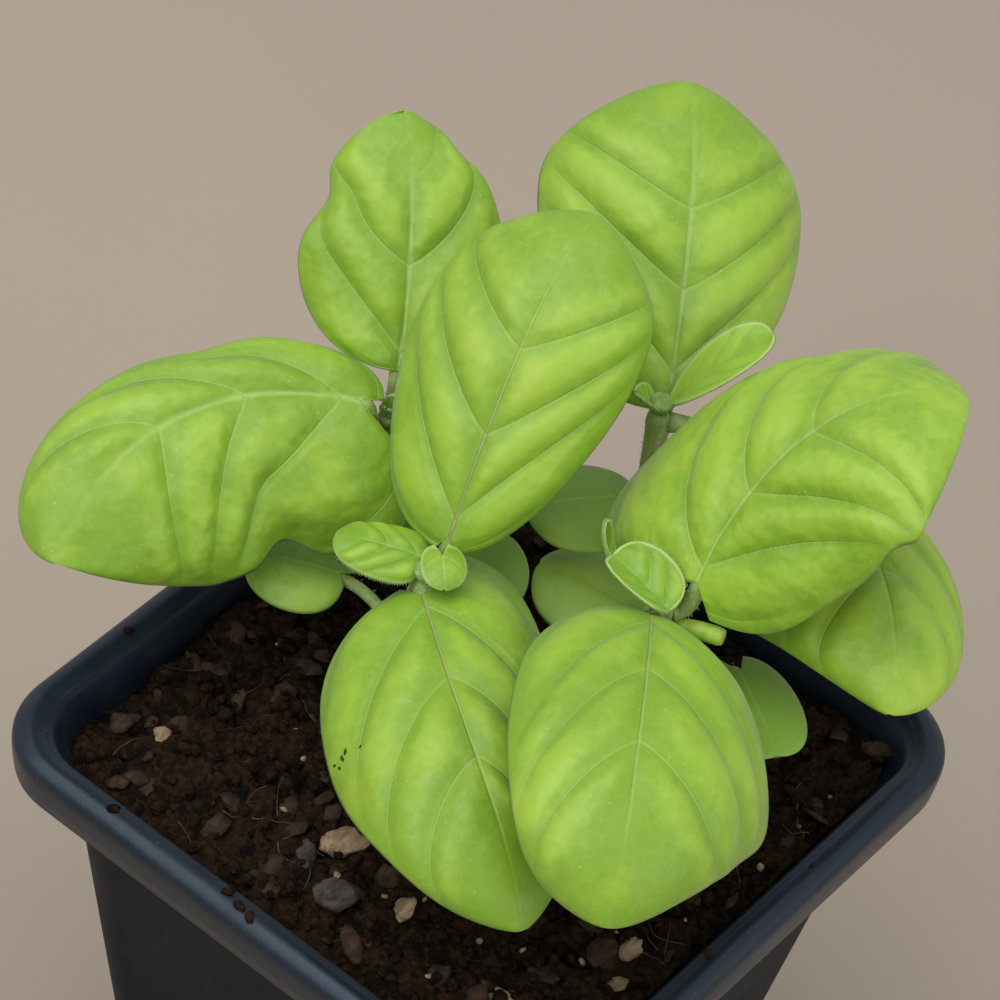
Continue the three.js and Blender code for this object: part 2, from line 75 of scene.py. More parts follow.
# Stems
STEM_RADIUS = 1.5
STEM_FOOT_RADIUS = 1.8
ROOTED_DEPTH = 20
SEAT_GAP = 0.3
NODE_SWELLING = 0.15
STEM_END = 1.4
STUB_RADIUS = 1.2
STUB_ROOT_DROP = 3
STUB_BOW = 0.6
STEM_SQUARENESS = 0.06
STALK_SEAT = 0.2

# Blades
SUNK = 0.85
PETIOLE_FLARE = (1.25, 1.15, 1.06)
PETIOLE_STEPS = 18
RIB_START = 0.03
RIB_STEPS = 26
RIB_TAPER = 0.75
BUD_RADIUS = 1.6
VEIN_SWEEP = 0.6
VEIN_SWEEP_FALL = 0.4
VEIN_START = 0.2
VEIN_LAST = 0.5
VEIN_GONE = 0.85
VEIN_TURN = 0.04
VEIN_BOW = 1.2
VEIN_BEHIND = 0.35
VEIN_END = 0.97
VEIN_FADE = 0.35
CREASE_ROUND = 0.05
CREST_LEAN = 0.8
# Shares over which swellings fade at the midrib, the margin, the base and the tip
CREST_FADES = (0.18, 0.25, 0.1, 0.12)
LOBE_FALL = 2.5
LOBE_SPREAD = 1.3
EDGE_FULLNESS = 8
GRID_PULL = 1.7
FAR_FROM_VEINS = 9.0
WALK = 96
NUDGE = 0.004
YOUNG_BLADE_GRID = (56, 41)
YOUNG_BLADE_THICKNESS = 0.55
BUD_TOP = 0.45

PLANTS = {
    "a": dict(foot=(-11, -4), fork=(-9.5, -5, 118), seed_leaves=106.5),
    "b": dict(foot=(-33, 9), fork=(-29.2, 10.4, 119), seed_leaves=107),
    "c": dict(foot=(-3, 34), fork=(-4.5, 34, 123), seed_leaves=108),
    "d": dict(foot=(13, 13), fork=(14.5, 11.5, 120), seed_leaves=102.5, stub=(22.3, 13.9, 119.6)),
}

# Angles are in degrees. The first of a pair is the leaf's own left half, seen from above, tip ahead.
# A notch is a side, a share of the length, a depth and a spread. A negative depth is a bulge.
LEAVES = {
    "leaf_a1": dict(
        base=(-9.8, -0.5, 123.5), length=44.5, width=(21.5, 16.2),
        heading=108, swing=-8, pitch=54, bend=-20, nose=-40, curl=(70, 65),
        shape=((0.36, 0.28), (0.5, 0.3)), lobe=(2, 2),
    ),
    "leaf_a2": dict(
        base=(-8, -7, 119), length=48.5, width=(17.5, 19),
        heading=-40, swing=14, pitch=8, bend=-33, nose=-40, roll=5, twist=-14, curl=(50, 70),
        shape=((0.18, 0.4), (0.3, 0.52)), lobe=(10, 4),
        notches=[("left", 0.6, 0.25, 0.2)],
    ),
    "leaf_b1": dict(
        base=(-30.5, 6, 127), length=47.8, width=(22.5, 14.2),
        heading=-146, swing=80, pitch=5, bend=-36, nose=-12, roll=-29, twist=14, curl=(50, 75),
        shape=((0.16, 0.2), (0.34, 0.4)), lobe=(10, 3), puff=0.9,
        notches=[("left", 0.34, 0.14, 0.1), ("right", 0.36, 0.14, 0.08)],
    ),
    "leaf_b2": dict(
        base=(-30.8, 13.8, 126.6), length=33, width=(14.6, 13.6),
        heading=125, swing=16, pitch=44, bend=-8, nose=-20, curl=(35, 35),
        shape=((0.4, 0.5), (0.36, 0.56)), lobe=(0, 2), veins=3, wave=0.8,
        notches=[("left", 0.68, 0.2, 0.13), ("right", 0.86, 0.14, 0.07)],
    ),
    "leaf_c1": dict(
        base=(-5.5, 37, 126), length=41.5, width=(21.5, 22.5),
        heading=124, swing=10, pitch=42, bend=-14, nose=-40, roll=5, curl=(60, 70),
        shape=((0.36, 0.24), (0.5, 0.34)), lobe=(3, 1),
    ),
    "leaf_c2": dict(
        base=(8.5, 43.5, 120.5), length=43, width=(14.2, 19.5),
        heading=-8, swing=-50, pitch=8, bend=-25, nose=-30, curl=(60, 60),
        shape=((0.4, 0.45), (0.4, 0.6)), lobe=(2.5, 2.5), puff=0.6, wave=0.4,
    ),
    "leaf_d1": dict(
        base=(17, 14, 125.5), length=43.5, width=(26, 19.5),
        heading=96, swing=-68, pitch=58, bend=-36, nose=-45, roll=-6, curl=(55, 45),
        shape=((0.14, 0.35), (0.25, 0.1)), lobe=(7, 4), puff=1, wave=0.6, waves=2.5,
        notches=[("left", 0.52, -0.1, 0.12)],
    ),
    "leaf_d2": dict(
        base=(15.6, 7.2, 123.4), length=51.5, width=(26.8, 16.5),
        heading=-57, pitch=27, bend=-67, nose=-36, roll=-8, curl=(75, 52),
        shape=((0.22, 0.35), (0.24, 0.33)), lobe=(6, 6), puff=0.7, wave=0.3,
        notches=[("left", 0.72, 0.07, 0.14)],
    ),
}
LEAF_FORM = dict(veins=4, puff=0.8, wave=0.5, waves=2)

SEED_LEAVES = {
    "cotyledon_a1": dict(
        base=(-24.2, -2, 106.2), heading=-152, length=12, width=(7.2, 8), pitch=6, lobe=(1, 3),
    ),
    "cotyledon_a2": dict(base=(-9.8, 0.6, 108.6), heading=95, length=14, pitch=15),
    "cotyledon_b1": dict(base=(-38, 5, 109), heading=-165, length=12, pitch=10),
    "cotyledon_b2": dict(base=(-26, 10.8, 110.2), heading=14, length=10, pitch=10),
    "cotyledon_c1": dict(base=(-6, 29.6, 111), heading=-125, length=12, width=(8, 8), pitch=5),
    "cotyledon_c2": dict(base=(1, 38, 107), heading=55, length=12, pitch=5),
    "cotyledon_d1": dict(base=(4.3, 21.8, 104.3), heading=-165, length=13, width=(8, 8), pitch=8),
    "cotyledon_d2": dict(base=(22.2, 20.6, 107.5), heading=-35, length=14.5, width=(6.5, 8), pitch=8),
}
SEED_LEAF_FORM = dict(
    width=(7, 7), bend=-10, curl=(25, 25), shape=((0.3, 0.4), (0.3, 0.4)), lobe=(3.5, 3.5),
)

# Two young leaves stand over each fork. A negative curl cups a leaf upwards.
TIPS = {
    "tip_a": [
        dict(
            base=(-10.9, -3.95, 121.2), heading=-153, length=11.1, width=(4.6, 6),
            pitch=8, bend=-20, curl=(45, 40), shape=((0.22, 0.35), (0.16, 0.35)), puff=0.45, tint=0.45,
        ),
        dict(
            base=(-8.6, -3.3, 122.8), heading=-46, length=4.4, width=(3.2, 2.8),
            pitch=0, bend=-40, curl=(30, 30), shape=((0.25, 0.4), (0.25, 0.4)), lobe=(2.4, 2.2), tint=0.9,
        ),
    ],
    "tip_b": [
        dict(base=(-29, 11, 122), heading=80, length=3.2, width=(1.7, 1.7), pitch=80),
        dict(base=(-28.8, 10, 122), heading=-80, length=2.8, width=(1.5, 1.5), pitch=80),
    ],
    "tip_c": [
        dict(
            base=(-4, 35, 125.6), heading=57, length=16, width=(3.8, 3.8),
            pitch=46, curl=(-30, -30), shape=((0.7, 0.4), (0.7, 0.4)), tint=-0.5,
        ),
        dict(base=(-5.2, 33.2, 125.6), heading=-130, length=4, width=(2.4, 2.4), pitch=50),
    ],
    "tip_d": [
        dict(
            base=(16.6, 9.4, 123.2), heading=180, length=9.8, width=(4.2, 5),
            pitch=22, curl=(-60, -60), shape=((0.55, 0.35), (0.3, 0.35)), puff=0.35, tint=0.9,
        ),
        dict(
            base=(13.6, 11.4, 123.4), heading=-170, swing=-50, length=14.6, width=(2.4, 2.4),
            pitch=-40, bend=130, roll=55, curl=(-40, -40), shape=((0.8, 0.5), (0.8, 0.5)),
        ),
    ],
}
TIP_FORM = dict(bend=-15, curl=(-50, -50), shape=((0.4, 0.55), (0.4, 0.55)), veins=3)

for leaves, form in ((LEAVES, LEAF_FORM), (SEED_LEAVES, SEED_LEAF_FORM)):
    for name, leaf in leaves.items():
        leaves[name] = {**form, **leaf}
for name, leaves in TIPS.items():
    TIPS[name] = [{**TIP_FORM, **leaf} for leaf in leaves]


# Materials

# Leaf surface: distances are in millimetres, cells are counted to the metre
VEIN_WIDTHS = (0.42, 0.16)
VEIN_TAPER = 16.0
VEIN_VALLEY = 1.9
MIDRIB_VALLEY = 1.5
NET_CELLS = 560
DOT_CELLS = 800
DOT_EDGE = (0.125, 0.065)
DOT_CHANCE = (0.56, 0.58)
# Painted shade in the creases at the side veins and painted light on the crests between them
PAINTED_CREASE_SHADE = (0.17, -0.08)
YELLOW_PATCH = (0.46, 0.62, 0.045)
ROSY_GREEN = (0.27, 0.24, 0.13)
GLAND_DOT = (0.58, 0.74, 0.34)
SHEEN = (0.85, 0.93, 1.0)


class Shader:
    """A material's node tree, with short calls for its nodes."""

    def __init__(self, name):
        self.material = bpy.data.materials.new(name)
        self.material.use_nodes = True
        self.tree = self.material.node_tree
        self.surface = self.tree.nodes["Principled BSDF"]

    def node(self, kind, inputs, **settings):
        """A new node with its settings, and with values or links for its inputs."""
        made = self.tree.nodes.new(kind)
        for key, value in settings.items():
            setattr(made, key, value)
        for key, value in inputs.items():
            self.feed(made.inputs[key], value)
        return made

    def feed(self, socket, value):
        if isinstance(value, bpy.types.NodeSocket):
            self.tree.links.new(value, socket)
        elif hasattr(value, "__len__") and len(value) == 3 and len(socket.default_value) == 4:
            socket.default_value = (*value, 1)
        else:
            socket.default_value = value

    def math(self, operation, *values):
        return self.node("ShaderNodeMath", dict(enumerate(values)), operation=operation).outputs[0]

    def times(self, first, second):
        return self.math("MULTIPLY", first, second)

    def band(self, value, low, high, out_low=0.0, out_high=1.0):
        """value from low to high, eased, as a share from out_low to out_high."""
        inputs = dict(enumerate((value, low, high, out_low, out_high)))
        return self.node("ShaderNodeMapRange", inputs, interpolation_type="SMOOTHSTEP").outputs[0]

    def mix(self, share, first, second):
        inputs = {"Factor": share, 6: first, 7: second}
        return self.node("ShaderNodeMix", inputs, data_type="RGBA").outputs[2]

    def laid(self, colour, share, amount, other):
        """colour with another laid over it, by a share times a fixed amount."""
        return self.mix(self.times(share, amount), colour, other)

    def raised(self, height, part, amount):
        """height with a part of the relief added to it, or taken from it by a negative amount."""
        return self.math("ADD", height, self.times(part, amount))

    def attribute(self, name):
        return self.node("ShaderNodeAttribute", {}, attribute_name=name).outputs["Fac"]

    def from_vein(self):
        """Millimetres from the nearest side vein."""
        share = self.math("FRACT", self.attribute("vein_phase"))
        nearest = self.math("SUBTRACT", 0.5, self.math("ABSOLUTE", self.math("SUBTRACT", share, 0.5)))
        return self.times(nearest, self.attribute("vein_scale"))

    def place(self):
        return self.node("ShaderNodeTexCoord", {}).outputs["Object"]

    def noise(self, scale, detail=3.0, roughness=0.5, stretch=None):
        """Soft noise of that many lumps to the metre."""
        where = self.place()
        if stretch:
            where = self.node("ShaderNodeMapping", {"Vector": where, "Scale": stretch}).outputs[0]
        inputs = {"Vector": where, "Scale": scale, "Detail": detail, "Roughness": roughness}
        return self.node("ShaderNodeTexNoise", inputs).outputs["Fac"]

    def cells(self, scale, feature="F1"):
        """Distance in a cell pattern, and the cells' random colour, if it has one."""
        inputs = {"Vector": self.place(), "Scale": scale}
        made = self.node("ShaderNodeTexVoronoi", inputs, feature=feature)
        return made.outputs["Distance"], made.outputs.get("Color")

    def bump(self, height, depth, strength=1.0):
        """Relief of that depth in metres for a height from 0 to 1."""
        inputs = {"Strength": strength, "Distance": depth, "Height": height}
        self.feed(self.surface.inputs["Normal"], self.node("ShaderNodeBump", inputs).outputs[0])

    def finish(self, colour, roughness, specular=0.5, **others):
        """The material itself. The others are sockets in small letters, such as sheen_tint."""
        self.feed(self.surface.inputs["Base Color"], colour)
        self.feed(self.surface.inputs["Roughness"], roughness)
        self.feed(self.surface.inputs["Specular IOR Level"], specular)
        for name, value in others.items():
            self.feed(self.surface.inputs[name.replace("_", " ").title()], value)
        return self.material


def leaf_material(name, light, deep, vein, pale_margin_and_glow, margin, relief, roughness):
    """A blade's upper face: satin, with thin pale veins, a faint net, gland dots, painted shade in its
    creases, painted light on its crests and a pale margin that is partly painted glow of light through the
    thin edge.
    """
    s = Shader(name)
    from_midrib = s.attribute("from_midrib")
    from_margin = s.attribute("from_margin")
    along = s.attribute("along")
    strength = s.attribute("vein_strength")

    from_vein = s.from_vein()
    vein_width = s.band(from_midrib, 0.0, VEIN_TAPER, *VEIN_WIDTHS)
    vein_line = s.times(s.band(from_vein, vein_width, 0.02), strength)
    vein_shade = s.times(s.band(from_vein, VEIN_VALLEY, 0.1), strength)
    fading = s.band(along, 0.95, 0.35, 0.12, 1.0)
    midrib_line = s.times(s.band(from_midrib, s.attribute("rib_width"), 0.05), fading)
    midrib_shade = s.times(s.band(from_midrib, MIDRIB_VALLEY, 0.1), fading)

    # The faint net between the veins, and pale gland dots in some of its cells
    net, _ = s.cells(NET_CELLS, "DISTANCE_TO_EDGE")
    net_line = s.band(net, 0.12, 0.0)
    spot, spot_colour = s.cells(DOT_CELLS)
    dots = s.times(s.band(spot, *DOT_EDGE), s.band(spot_colour, *DOT_CHANCE))

    broad = s.noise(75, 1.0)
    fine = s.noise(520, 2.0, 0.6)
    tone_and_painted_shade = s.raised(s.times(broad, 0.65), fine, 0.35)
    tone_and_painted_shade = s.raised(tone_and_painted_shade, s.attribute("tint"), 0.3)
    # Painted shade: deeper green in the creases at the side veins, lighter green on the crests between
    # them
    tone_and_painted_shade = s.math("ADD", tone_and_painted_shade, s.band(s.attribute("crest"), 0.0, 0.9, *PAINTED_CREASE_SHADE))
    colour = s.mix(s.band(tone_and_painted_shade, 0.34, 0.74), light, deep)
    patches = s.band(s.noise(120, 1.0), 0.56, 0.74)
    rosy = s.times(s.band(along, 0.62, 0.05), s.band(from_midrib, 0.36, 0.1))
    edge_width, edge_share = margin
    # Painted shade: vein_shade and midrib_shade lay deep green in the valleys along the side veins and the
    # midrib
    layers = (
        (patches, 0.30, YELLOW_PATCH),
        (net_line, 0.07, vein),
        (vein_shade, 0.10, deep),
        (vein_line, 0.30, vein),
        (midrib_shade, 0.12, deep),
        (midrib_line, 0.50, vein),
        (rosy, s.attribute("blush"), ROSY_GREEN),
        (dots, 0.36, GLAND_DOT),
        # The margin: the thin edge's own paler colour and a painted glow of light through it
        (s.band(from_margin, edge_width, 0.05), edge_share, pale_margin_and_glow),
    )
    for share, amount, other in layers:
        colour = s.laid(colour, share, amount, other)

    height = s.times(vein_line, -0.25)
    parts = (
        (vein_shade, -0.45),
        (midrib_line, -0.45),
        (midrib_shade, -0.35),
        (fine, 0.18),
        (s.noise(210, 2.0, 0.45), s.attribute("quilting")),
    )
    for part, amount in parts:
        height = s.raised(height, part, amount)
    s.bump(height, relief)
    return s.finish(
        colour,
        s.band(fine, 0.3, 0.7, roughness - 0.04, roughness + 0.06),
        specular=0.5,
        sheen_weight=0.13,
        sheen_roughness=0.4,
        sheen_tint=SHEEN,
    )


def under_material(name, base, vein):
    """A blade's lower face: paler and dull, with raised veins."""
    s = Shader(name)
    vein_line = s.times(s.band(s.from_vein(), 0.5, 0.1), s.attribute("vein_strength"))
    net, _ = s.cells(420, "DISTANCE_TO_EDGE")
    net_line = s.band(net, 0.14, 0.0)
    mottle = s.band(s.noise(300, 3.0), 0.3, 0.7)
    colour = s.mix(mottle, base, tuple(0.86 * part for part in base))
    colour = s.laid(colour, net_line, 0.25, vein)
    colour = s.laid(colour, vein_line, 0.7, vein)
    s.bump(s.raised(vein_line, net_line, 0.35), 0.00022)
    return s.finish(colour, 0.62, specular=0.3)


def stalk_material(name, dark, light):
    """Stems and leaf stalks: pale green, rosy in places, with fine lengthwise lines."""
    s = Shader(name)
    lines = s.noise(900, 3.0, stretch=(1.0, 1.0, 0.12))
    patches = s.band(s.noise(120, 2.0), 0.42, 0.62)
    colour = s.mix(s.band(lines, 0.35, 0.65), dark, light)
    colour = s.laid(colour, patches, 0.22, (0.38, 0.28, 0.16))
    s.bump(lines, 0.00012)
    return s.finish(colour, 0.5, specular=0.4)


def hair_material():
    s = Shader("hair")
    colour = s.mix(s.noise(2000, 1.0), (0.62, 0.70, 0.45), (0.78, 0.82, 0.66))
    return s.finish(colour, 0.45, specular=0.4)


def pot_material(name, dark, light, roughness, gloss):
    """Dark blue-black moulded plastic, a little dusty, with fine scuffs."""
    s = Shader(name)
    grain = s.noise(2600, 2.0)
    scuff = s.band(s.noise(260, 6.0, 0.7, stretch=(1.0, 1.0, 0.5)), 0.56, 0.72)
    dust = s.band(s.noise(45, 4.0, 0.6), 0.45, 0.75)
    speck, speck_colour = s.cells(520)
    specks = s.times(s.band(speck, 0.16, 0.06), s.band(speck_colour, 0.62, 0.66))
    colour = s.mix(s.band(s.noise(30, 2.0), 0.3, 0.7), dark, light)
    colour = s.laid(colour, dust, 0.12, (0.040, 0.050, 0.064))
    colour = s.laid(colour, scuff, 0.16, (0.055, 0.066, 0.085))
    colour = s.laid(colour, specks, 0.6, (0.06, 0.04, 0.025))
    s.bump(s.raised(grain, scuff, 0.5), 0.00005, 0.6)
    rough = s.raised(roughness, dust, 0.16)
    return s.finish(colour, rough, specular=gloss, specular_tint=(0.68, 0.84, 1.0))


def peat_material():
    """Damp peat: dark clods, reddish crumbs and black hollows."""
    s = Shader("peat")
    clod, clod_colour = s.cells(420)
    fine, fine_colour = s.cells(1300)
    grain = s.noise(1800, 3.0, 0.7)
    colour = s.mix(s.band(clod_colour, 0.25, 0.75), (0.0065, 0.0039, 0.002), (0.02, 0.0115, 0.0054))
    colour = s.laid(colour, s.band(fine_colour, 0.55, 0.7), 0.55, (0.043, 0.023, 0.0098))
    colour = s.laid(colour, s.band(grain, 0.55, 0.75), 0.4, (0.068, 0.042, 0.022))
    height = s.raised(s.times(grain, 0.8), fine, -0.6)
    s.bump(s.raised(height, clod, -0.5), 0.0007)
    return s.finish(colour, s.band(grain, 0.3, 0.8, 0.7, 0.95), specular=0.1)


def chip_material(name, dark, light, grain_scale):
    """Bark and wood: fibres along the chip, with darker blots."""
    s = Shader(name)
    grain = s.noise(grain_scale, 4.0, 0.65, stretch=(1.0, 0.3, 1.0))
    blot = s.noise(350, 2.0)
    colour = s.mix(s.band(grain, 0.3, 0.7), dark, light)
    colour = s.laid(colour, s.band(blot, 0.5, 0.7), 0.45, dark)
    s.bump(grain, 0.0004)
    return s.finish(colour, 0.85, specular=0.3)


def floor_material():
    s = Shader("floor")
    colour = s.mix(s.band(s.noise(6, 3.0), 0.3, 0.7), (0.42, 0.346, 0.275), (0.452, 0.373, 0.296))
    return s.finish(colour, 0.9)


LEAF_TOP = leaf_material(
    "leaf_top", (0.35, 0.56, 0.044), (0.225, 0.415, 0.022), (0.46, 0.62, 0.17), (0.42, 0.6, 0.09),
    (0.45, 0.3), 0.00034, 0.42,
)
LEAF_UNDER = under_material("leaf_under", (0.26, 0.40, 0.08), (0.40, 0.52, 0.16))
YOUNG_TOP = leaf_material(
    "young_leaf_top", (0.37, 0.60, 0.05), (0.205, 0.395, 0.018), (0.39, 0.59, 0.11), (0.57, 0.75, 0.24),
    (0.65, 0.7), 0.00016, 0.36,
)
SEED_TOP = leaf_material(
    "seed_leaf_top", (0.4, 0.63, 0.1), (0.22, 0.4, 0.042), (0.34, 0.54, 0.1), (0.4, 0.6, 0.12),
    (0.45, 0.3), 0.00014, 0.5,
)
SEED_UNDER = under_material("seed_leaf_under", (0.22, 0.36, 0.08), (0.26, 0.40, 0.11))
STALK = stalk_material("stalk", (0.24, 0.37, 0.08), (0.38, 0.52, 0.17))
STUB = stalk_material("stub", (0.28, 0.47, 0.04), (0.38, 0.58, 0.08))
HAIR = hair_material()
POT_BODY = pot_material("pot_body", (0.0035, 0.0062, 0.0125), (0.0058, 0.0092, 0.0175), 0.50, 0.08)
# The same plastic as the body, but lighter and bluer: painted reflection of the sky on the rounded rim
POT_RIM_PAINTED_REFLECTION = pot_material("pot_rim_painted_reflection", (0.006, 0.0096, 0.017), (0.0095, 0.0145, 0.025), 0.33, 0.60)
PEAT = peat_material()
BARK = chip_material("bark", (0.018, 0.01, 0.005), (0.066, 0.036, 0.017), 900)
WOOD = chip_material("wood", (0.2, 0.135, 0.075), (0.42, 0.31, 0.19), 1100)
GREY_CHIP = chip_material("grey_chip", (0.03, 0.025, 0.022), (0.095, 0.082, 0.073), 1000)
FIBRE = chip_material("fibre", (0.06, 0.037, 0.02), (0.17, 0.11, 0.062), 800)
FLOOR_PAINT = floor_material()


# Meshes


def joined(parts):
    """Several (points, faces, face_material, attributes) as one."""
    points, faces, which, attributes = [], [], [], {}
    start = 0
    names = sorted({key for part in parts for key in part[3]})
    for part_points, part_faces, part_which, part_attributes in parts:
        points.append(part_points)
        faces.extend([[k + start for k in face] for face in part_faces])
        which.extend(part_which)
        for key in names:
            values = part_attributes.get(key, np.full(len(part_points), FAR_FROM_VEINS))
            attributes.setdefault(key, []).append(values)
        start += len(part_points)
    return np.vstack(points), faces, which, {key: np.concatenate(rows) for key, rows in attributes.items()}


def add_mesh(name, points, faces):
    """One object with its place in its mesh. points are in millimetres."""
    mesh = bpy.data.meshes.new(name)
    mesh.from_pydata((np.array(points) * MM).tolist(), [], faces)
    made = bpy.data.objects.new(name, mesh)
    scene.collection.objects.link(made)
    return made


def add_piece(name, parts, materials, node=None):
    """One piece made of several parts, and the node whose solid it replaces."""
    points, faces, which, attributes = joined(parts)
    piece = add_mesh(name, points, faces)
    mesh = piece.data
    for material in materials:
        mesh.materials.append(material)
    mesh.polygons.foreach_set("material_index", which)
    for key, values in attributes.items():
        layer = mesh.attributes.new(key, "FLOAT", "POINT")
        layer.data.foreach_set("value", np.array(values, dtype=np.float32))
    mesh.shade_smooth()
    mesh.validate()
    mesh.update()
    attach(piece, "root")
    if node:
        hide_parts(node)
    return piece


def plain(points, faces, material=0):
    """A part of one material, without attributes."""
    return points, faces, [material] * len(faces), {}


def ring_surface(rings, first_middle, last_middle, material=0):
    """A closed part over rings of points, with a fan of faces at each end."""
    count = len(rings[0])
    points = np.vstack([*rings, [first_middle], [last_middle]])
    first, last = len(rings) * count, len(rings) * count + 1
    faces = []
    for k in range(count):
        following = (k + 1) % count
        faces.append((first, following, k))
        faces.append((last, (len(rings) - 1) * count + k, (len(rings) - 1) * count + following))
        for r in range(len(rings) - 1):
            here = r * count
            faces.append((here + k, here + following, here + count + following, here + count + k))
    return plain(points, faces, material)


def tube(path, radii, sides, material=0, squareness=0.0):
    """A closed tube along a path."""
    path = np.asarray(path, float)
    ahead = np.gradient(path, axis=0)
    ahead /= np.linalg.norm(ahead, axis=1)[:, None]
    side = np.cross(ahead[0], (0.3, 0.9, 0.2) if abs(ahead[0][0]) > 0.7 else (1.0, 0.1, 0.0))
    rings = []
    angles = np.linspace(0, 2 * np.pi, sides, endpoint=False)
    for point, direction, radius in zip(path, ahead, radii):
        side = side - direction * (side @ direction)
        side /= np.linalg.norm(side)
        other = np.cross(direction, side)
        reach = radius * (1 + squareness * np.cos(4 * angles))
        ring = point + np.outer(np.cos(angles) * reach, side)
        rings.append(ring + np.outer(np.sin(angles) * reach, other))
    return ring_surface(rings, path[0], path[-1], material)


def bezier(a, b, c, d, count):
    s = np.linspace(0, 1, count)[:, None]
    return a * (1 - s) ** 3 + 3 * b * s * (1 - s) ** 2 + 3 * c * s**2 * (1 - s) + d * s**3


# Leaves


def leaf_frame(leaf, u):
    """Directions ahead, to the left and up from the blade, at shares of the length."""
    u = np.asarray(u, float)
    pitch = np.radians(leaf["pitch"] + leaf.get("bend", 0) * u**1.5 + leaf.get("nose", 0) * u**5)
    heading = np.radians(leaf["heading"] + leaf.get("swing", 0) * u)
    roll = np.radians(leaf.get("roll", 0) + leaf.get("twist", 0) * u)[..., None]
    ahead = np.stack([np.cos(pitch) * np.cos(heading), np.cos(pitch) * np.sin(heading), np.sin(pitch)], -1)
    level = np.stack([-np.sin(heading), np.cos(heading), 0 * heading], -1)
    up = np.cross(ahead, level)
    return ahead, level * np.cos(roll) + up * np.sin(roll), up * np.cos(roll) - level * np.sin(roll)


def midrib(leaf, u):
    """Points of the midrib, which is walked from the base in short steps."""
    steps = (np.arange(WALK) + 0.5) / WALK
    walk = np.vstack([[(0, 0, 0)], np.cumsum(leaf_frame(leaf, steps)[0], 0) * leaf["length"] / WALK])
    walk = walk + np.array(leaf["base"], float)
    shares = np.linspace(0, 1, WALK + 1)
    return np.stack([np.interp(u, shares, walk[:, k]) for k in range(3)], -1)


def half_width(leaf, side, u):
    """The blade's width on one side of its midrib, with the notches there."""
    rise, fall = leaf["shape"][side]
    widest = rise / (rise + fall)
    width = leaf["width"][side] * (u / widest) ** rise * ((1 - u) / (1 - widest)) ** fall
    for name, at, depth, spread in leaf.get("notches", ()):
        if name == ("left", "right")[side]:
            width = width * (1 - depth * np.exp(-(((u - at) / spread) ** 2)))
    return width


def width_at(leaf, u, t):
    return np.where(t >= 0, half_width(leaf, 0, u), half_width(leaf, 1, u))


def vein_root(u, out):
    """The share of the midrib from which the vein through a point starts."""
    reach = out**VEIN_BOW
    root = (u - VEIN_SWEEP * reach) / (1 - VEIN_SWEEP_FALL * reach)
    ahead_of_base = (root + np.sqrt(root**2 + VEIN_TURN**2)) / 2
    return VEIN_BEHIND * root + (1 - VEIN_BEHIND) * ahead_of_base


def vein_phase(leaf, u, t):
    """Counts the side veins: a whole number on a vein."""
    return vein_root(u, np.abs(t)) * leaf.get("veins", 0) - VEIN_START


def vein_strength(u, out):
    """Veins and creases die away towards the tip."""
    gone = np.clip((vein_root(u, out) - VEIN_LAST) / (VEIN_GONE - VEIN_LAST), 0, 1)
    return 1 - gone * gone * (3 - 2 * gone)


def swelling(phase):
    """From 0 in the crease at a side vein up to 1 between two, steeper past the vein than before it."""
    share = phase - np.floor(phase)
    wave = np.sin(np.pi * share**CREST_LEAN) ** 2
    low = CREASE_ROUND**0.5
    return (np.sqrt(wave + CREASE_ROUND) - low) / ((1 + CREASE_ROUND) ** 0.5 - low)


def crest(leaf, u, out):
    """How high a point lies on its swelling, as a share that dies away at the blade's rim and midrib."""
    height = swelling(vein_phase(leaf, u, out)) * vein_strength(u, out)
    for distance, fade in zip((out, 1 - out, u, 1 - u), CREST_FADES):
        height = height * np.clip(distance / fade, 0, 1)
    return height


def changes(field, leaf, u, t):
    """How much a field on the blade changes by two nudges along it, and by two across it."""
    along = field(leaf, u + NUDGE, t) - field(leaf, u - NUDGE, t)
    return along, field(leaf, u, t + NUDGE) - field(leaf, u, t - NUDGE)


def blade(leaf, rows, columns):
    """The blade's middle surface on a grid, with its normals and the measures that the materials read."""
    s = np.linspace(0, 1, rows)
    u = s**GRID_PULL / (s**GRID_PULL + (1 - s) ** GRID_PULL)
    t = np.linspace(-1, 1, columns)
    grid_u, grid_t = np.meshgrid(u, t, indexing="ij")
    points = blade_points(leaf, grid_u, grid_t)

    near = np.clip(grid_u, 0.01, 0.99)
    inner = np.clip(grid_t, NUDGE - 1, 1 - NUDGE)
    along, across = changes(blade_points, leaf, near, inner)
    normals = np.cross(along, across)
    normals /= np.linalg.norm(normals, axis=2)[..., None]

    by_u, by_t = changes(vein_phase, leaf, near, inner)
    uu, ut, tt = (along**2).sum(2), (along * across).sum(2), (across**2).sum(2)
    steepness = (tt * by_u**2 - 2 * ut * by_u * by_t + uu * by_t**2) / (uu * tt - ut**2)
    slope = np.sqrt(np.maximum(steepness, 1e-6))
    out = np.abs(grid_t)
    width = width_at(leaf, grid_u, grid_t)
    measures = {
        "vein_phase": vein_phase(leaf, grid_u, grid_t),
        "vein_scale": 1 / slope,
        "from_midrib": out * width,
        "from_margin": (1 - out) * width,
        "along": grid_u,
        "crest": crest(leaf, grid_u, out),
        "vein_strength": vein_strength(grid_u, out) * np.clip((VEIN_END - out) / VEIN_FADE, 0, 1),
    }
    return points, normals, measures


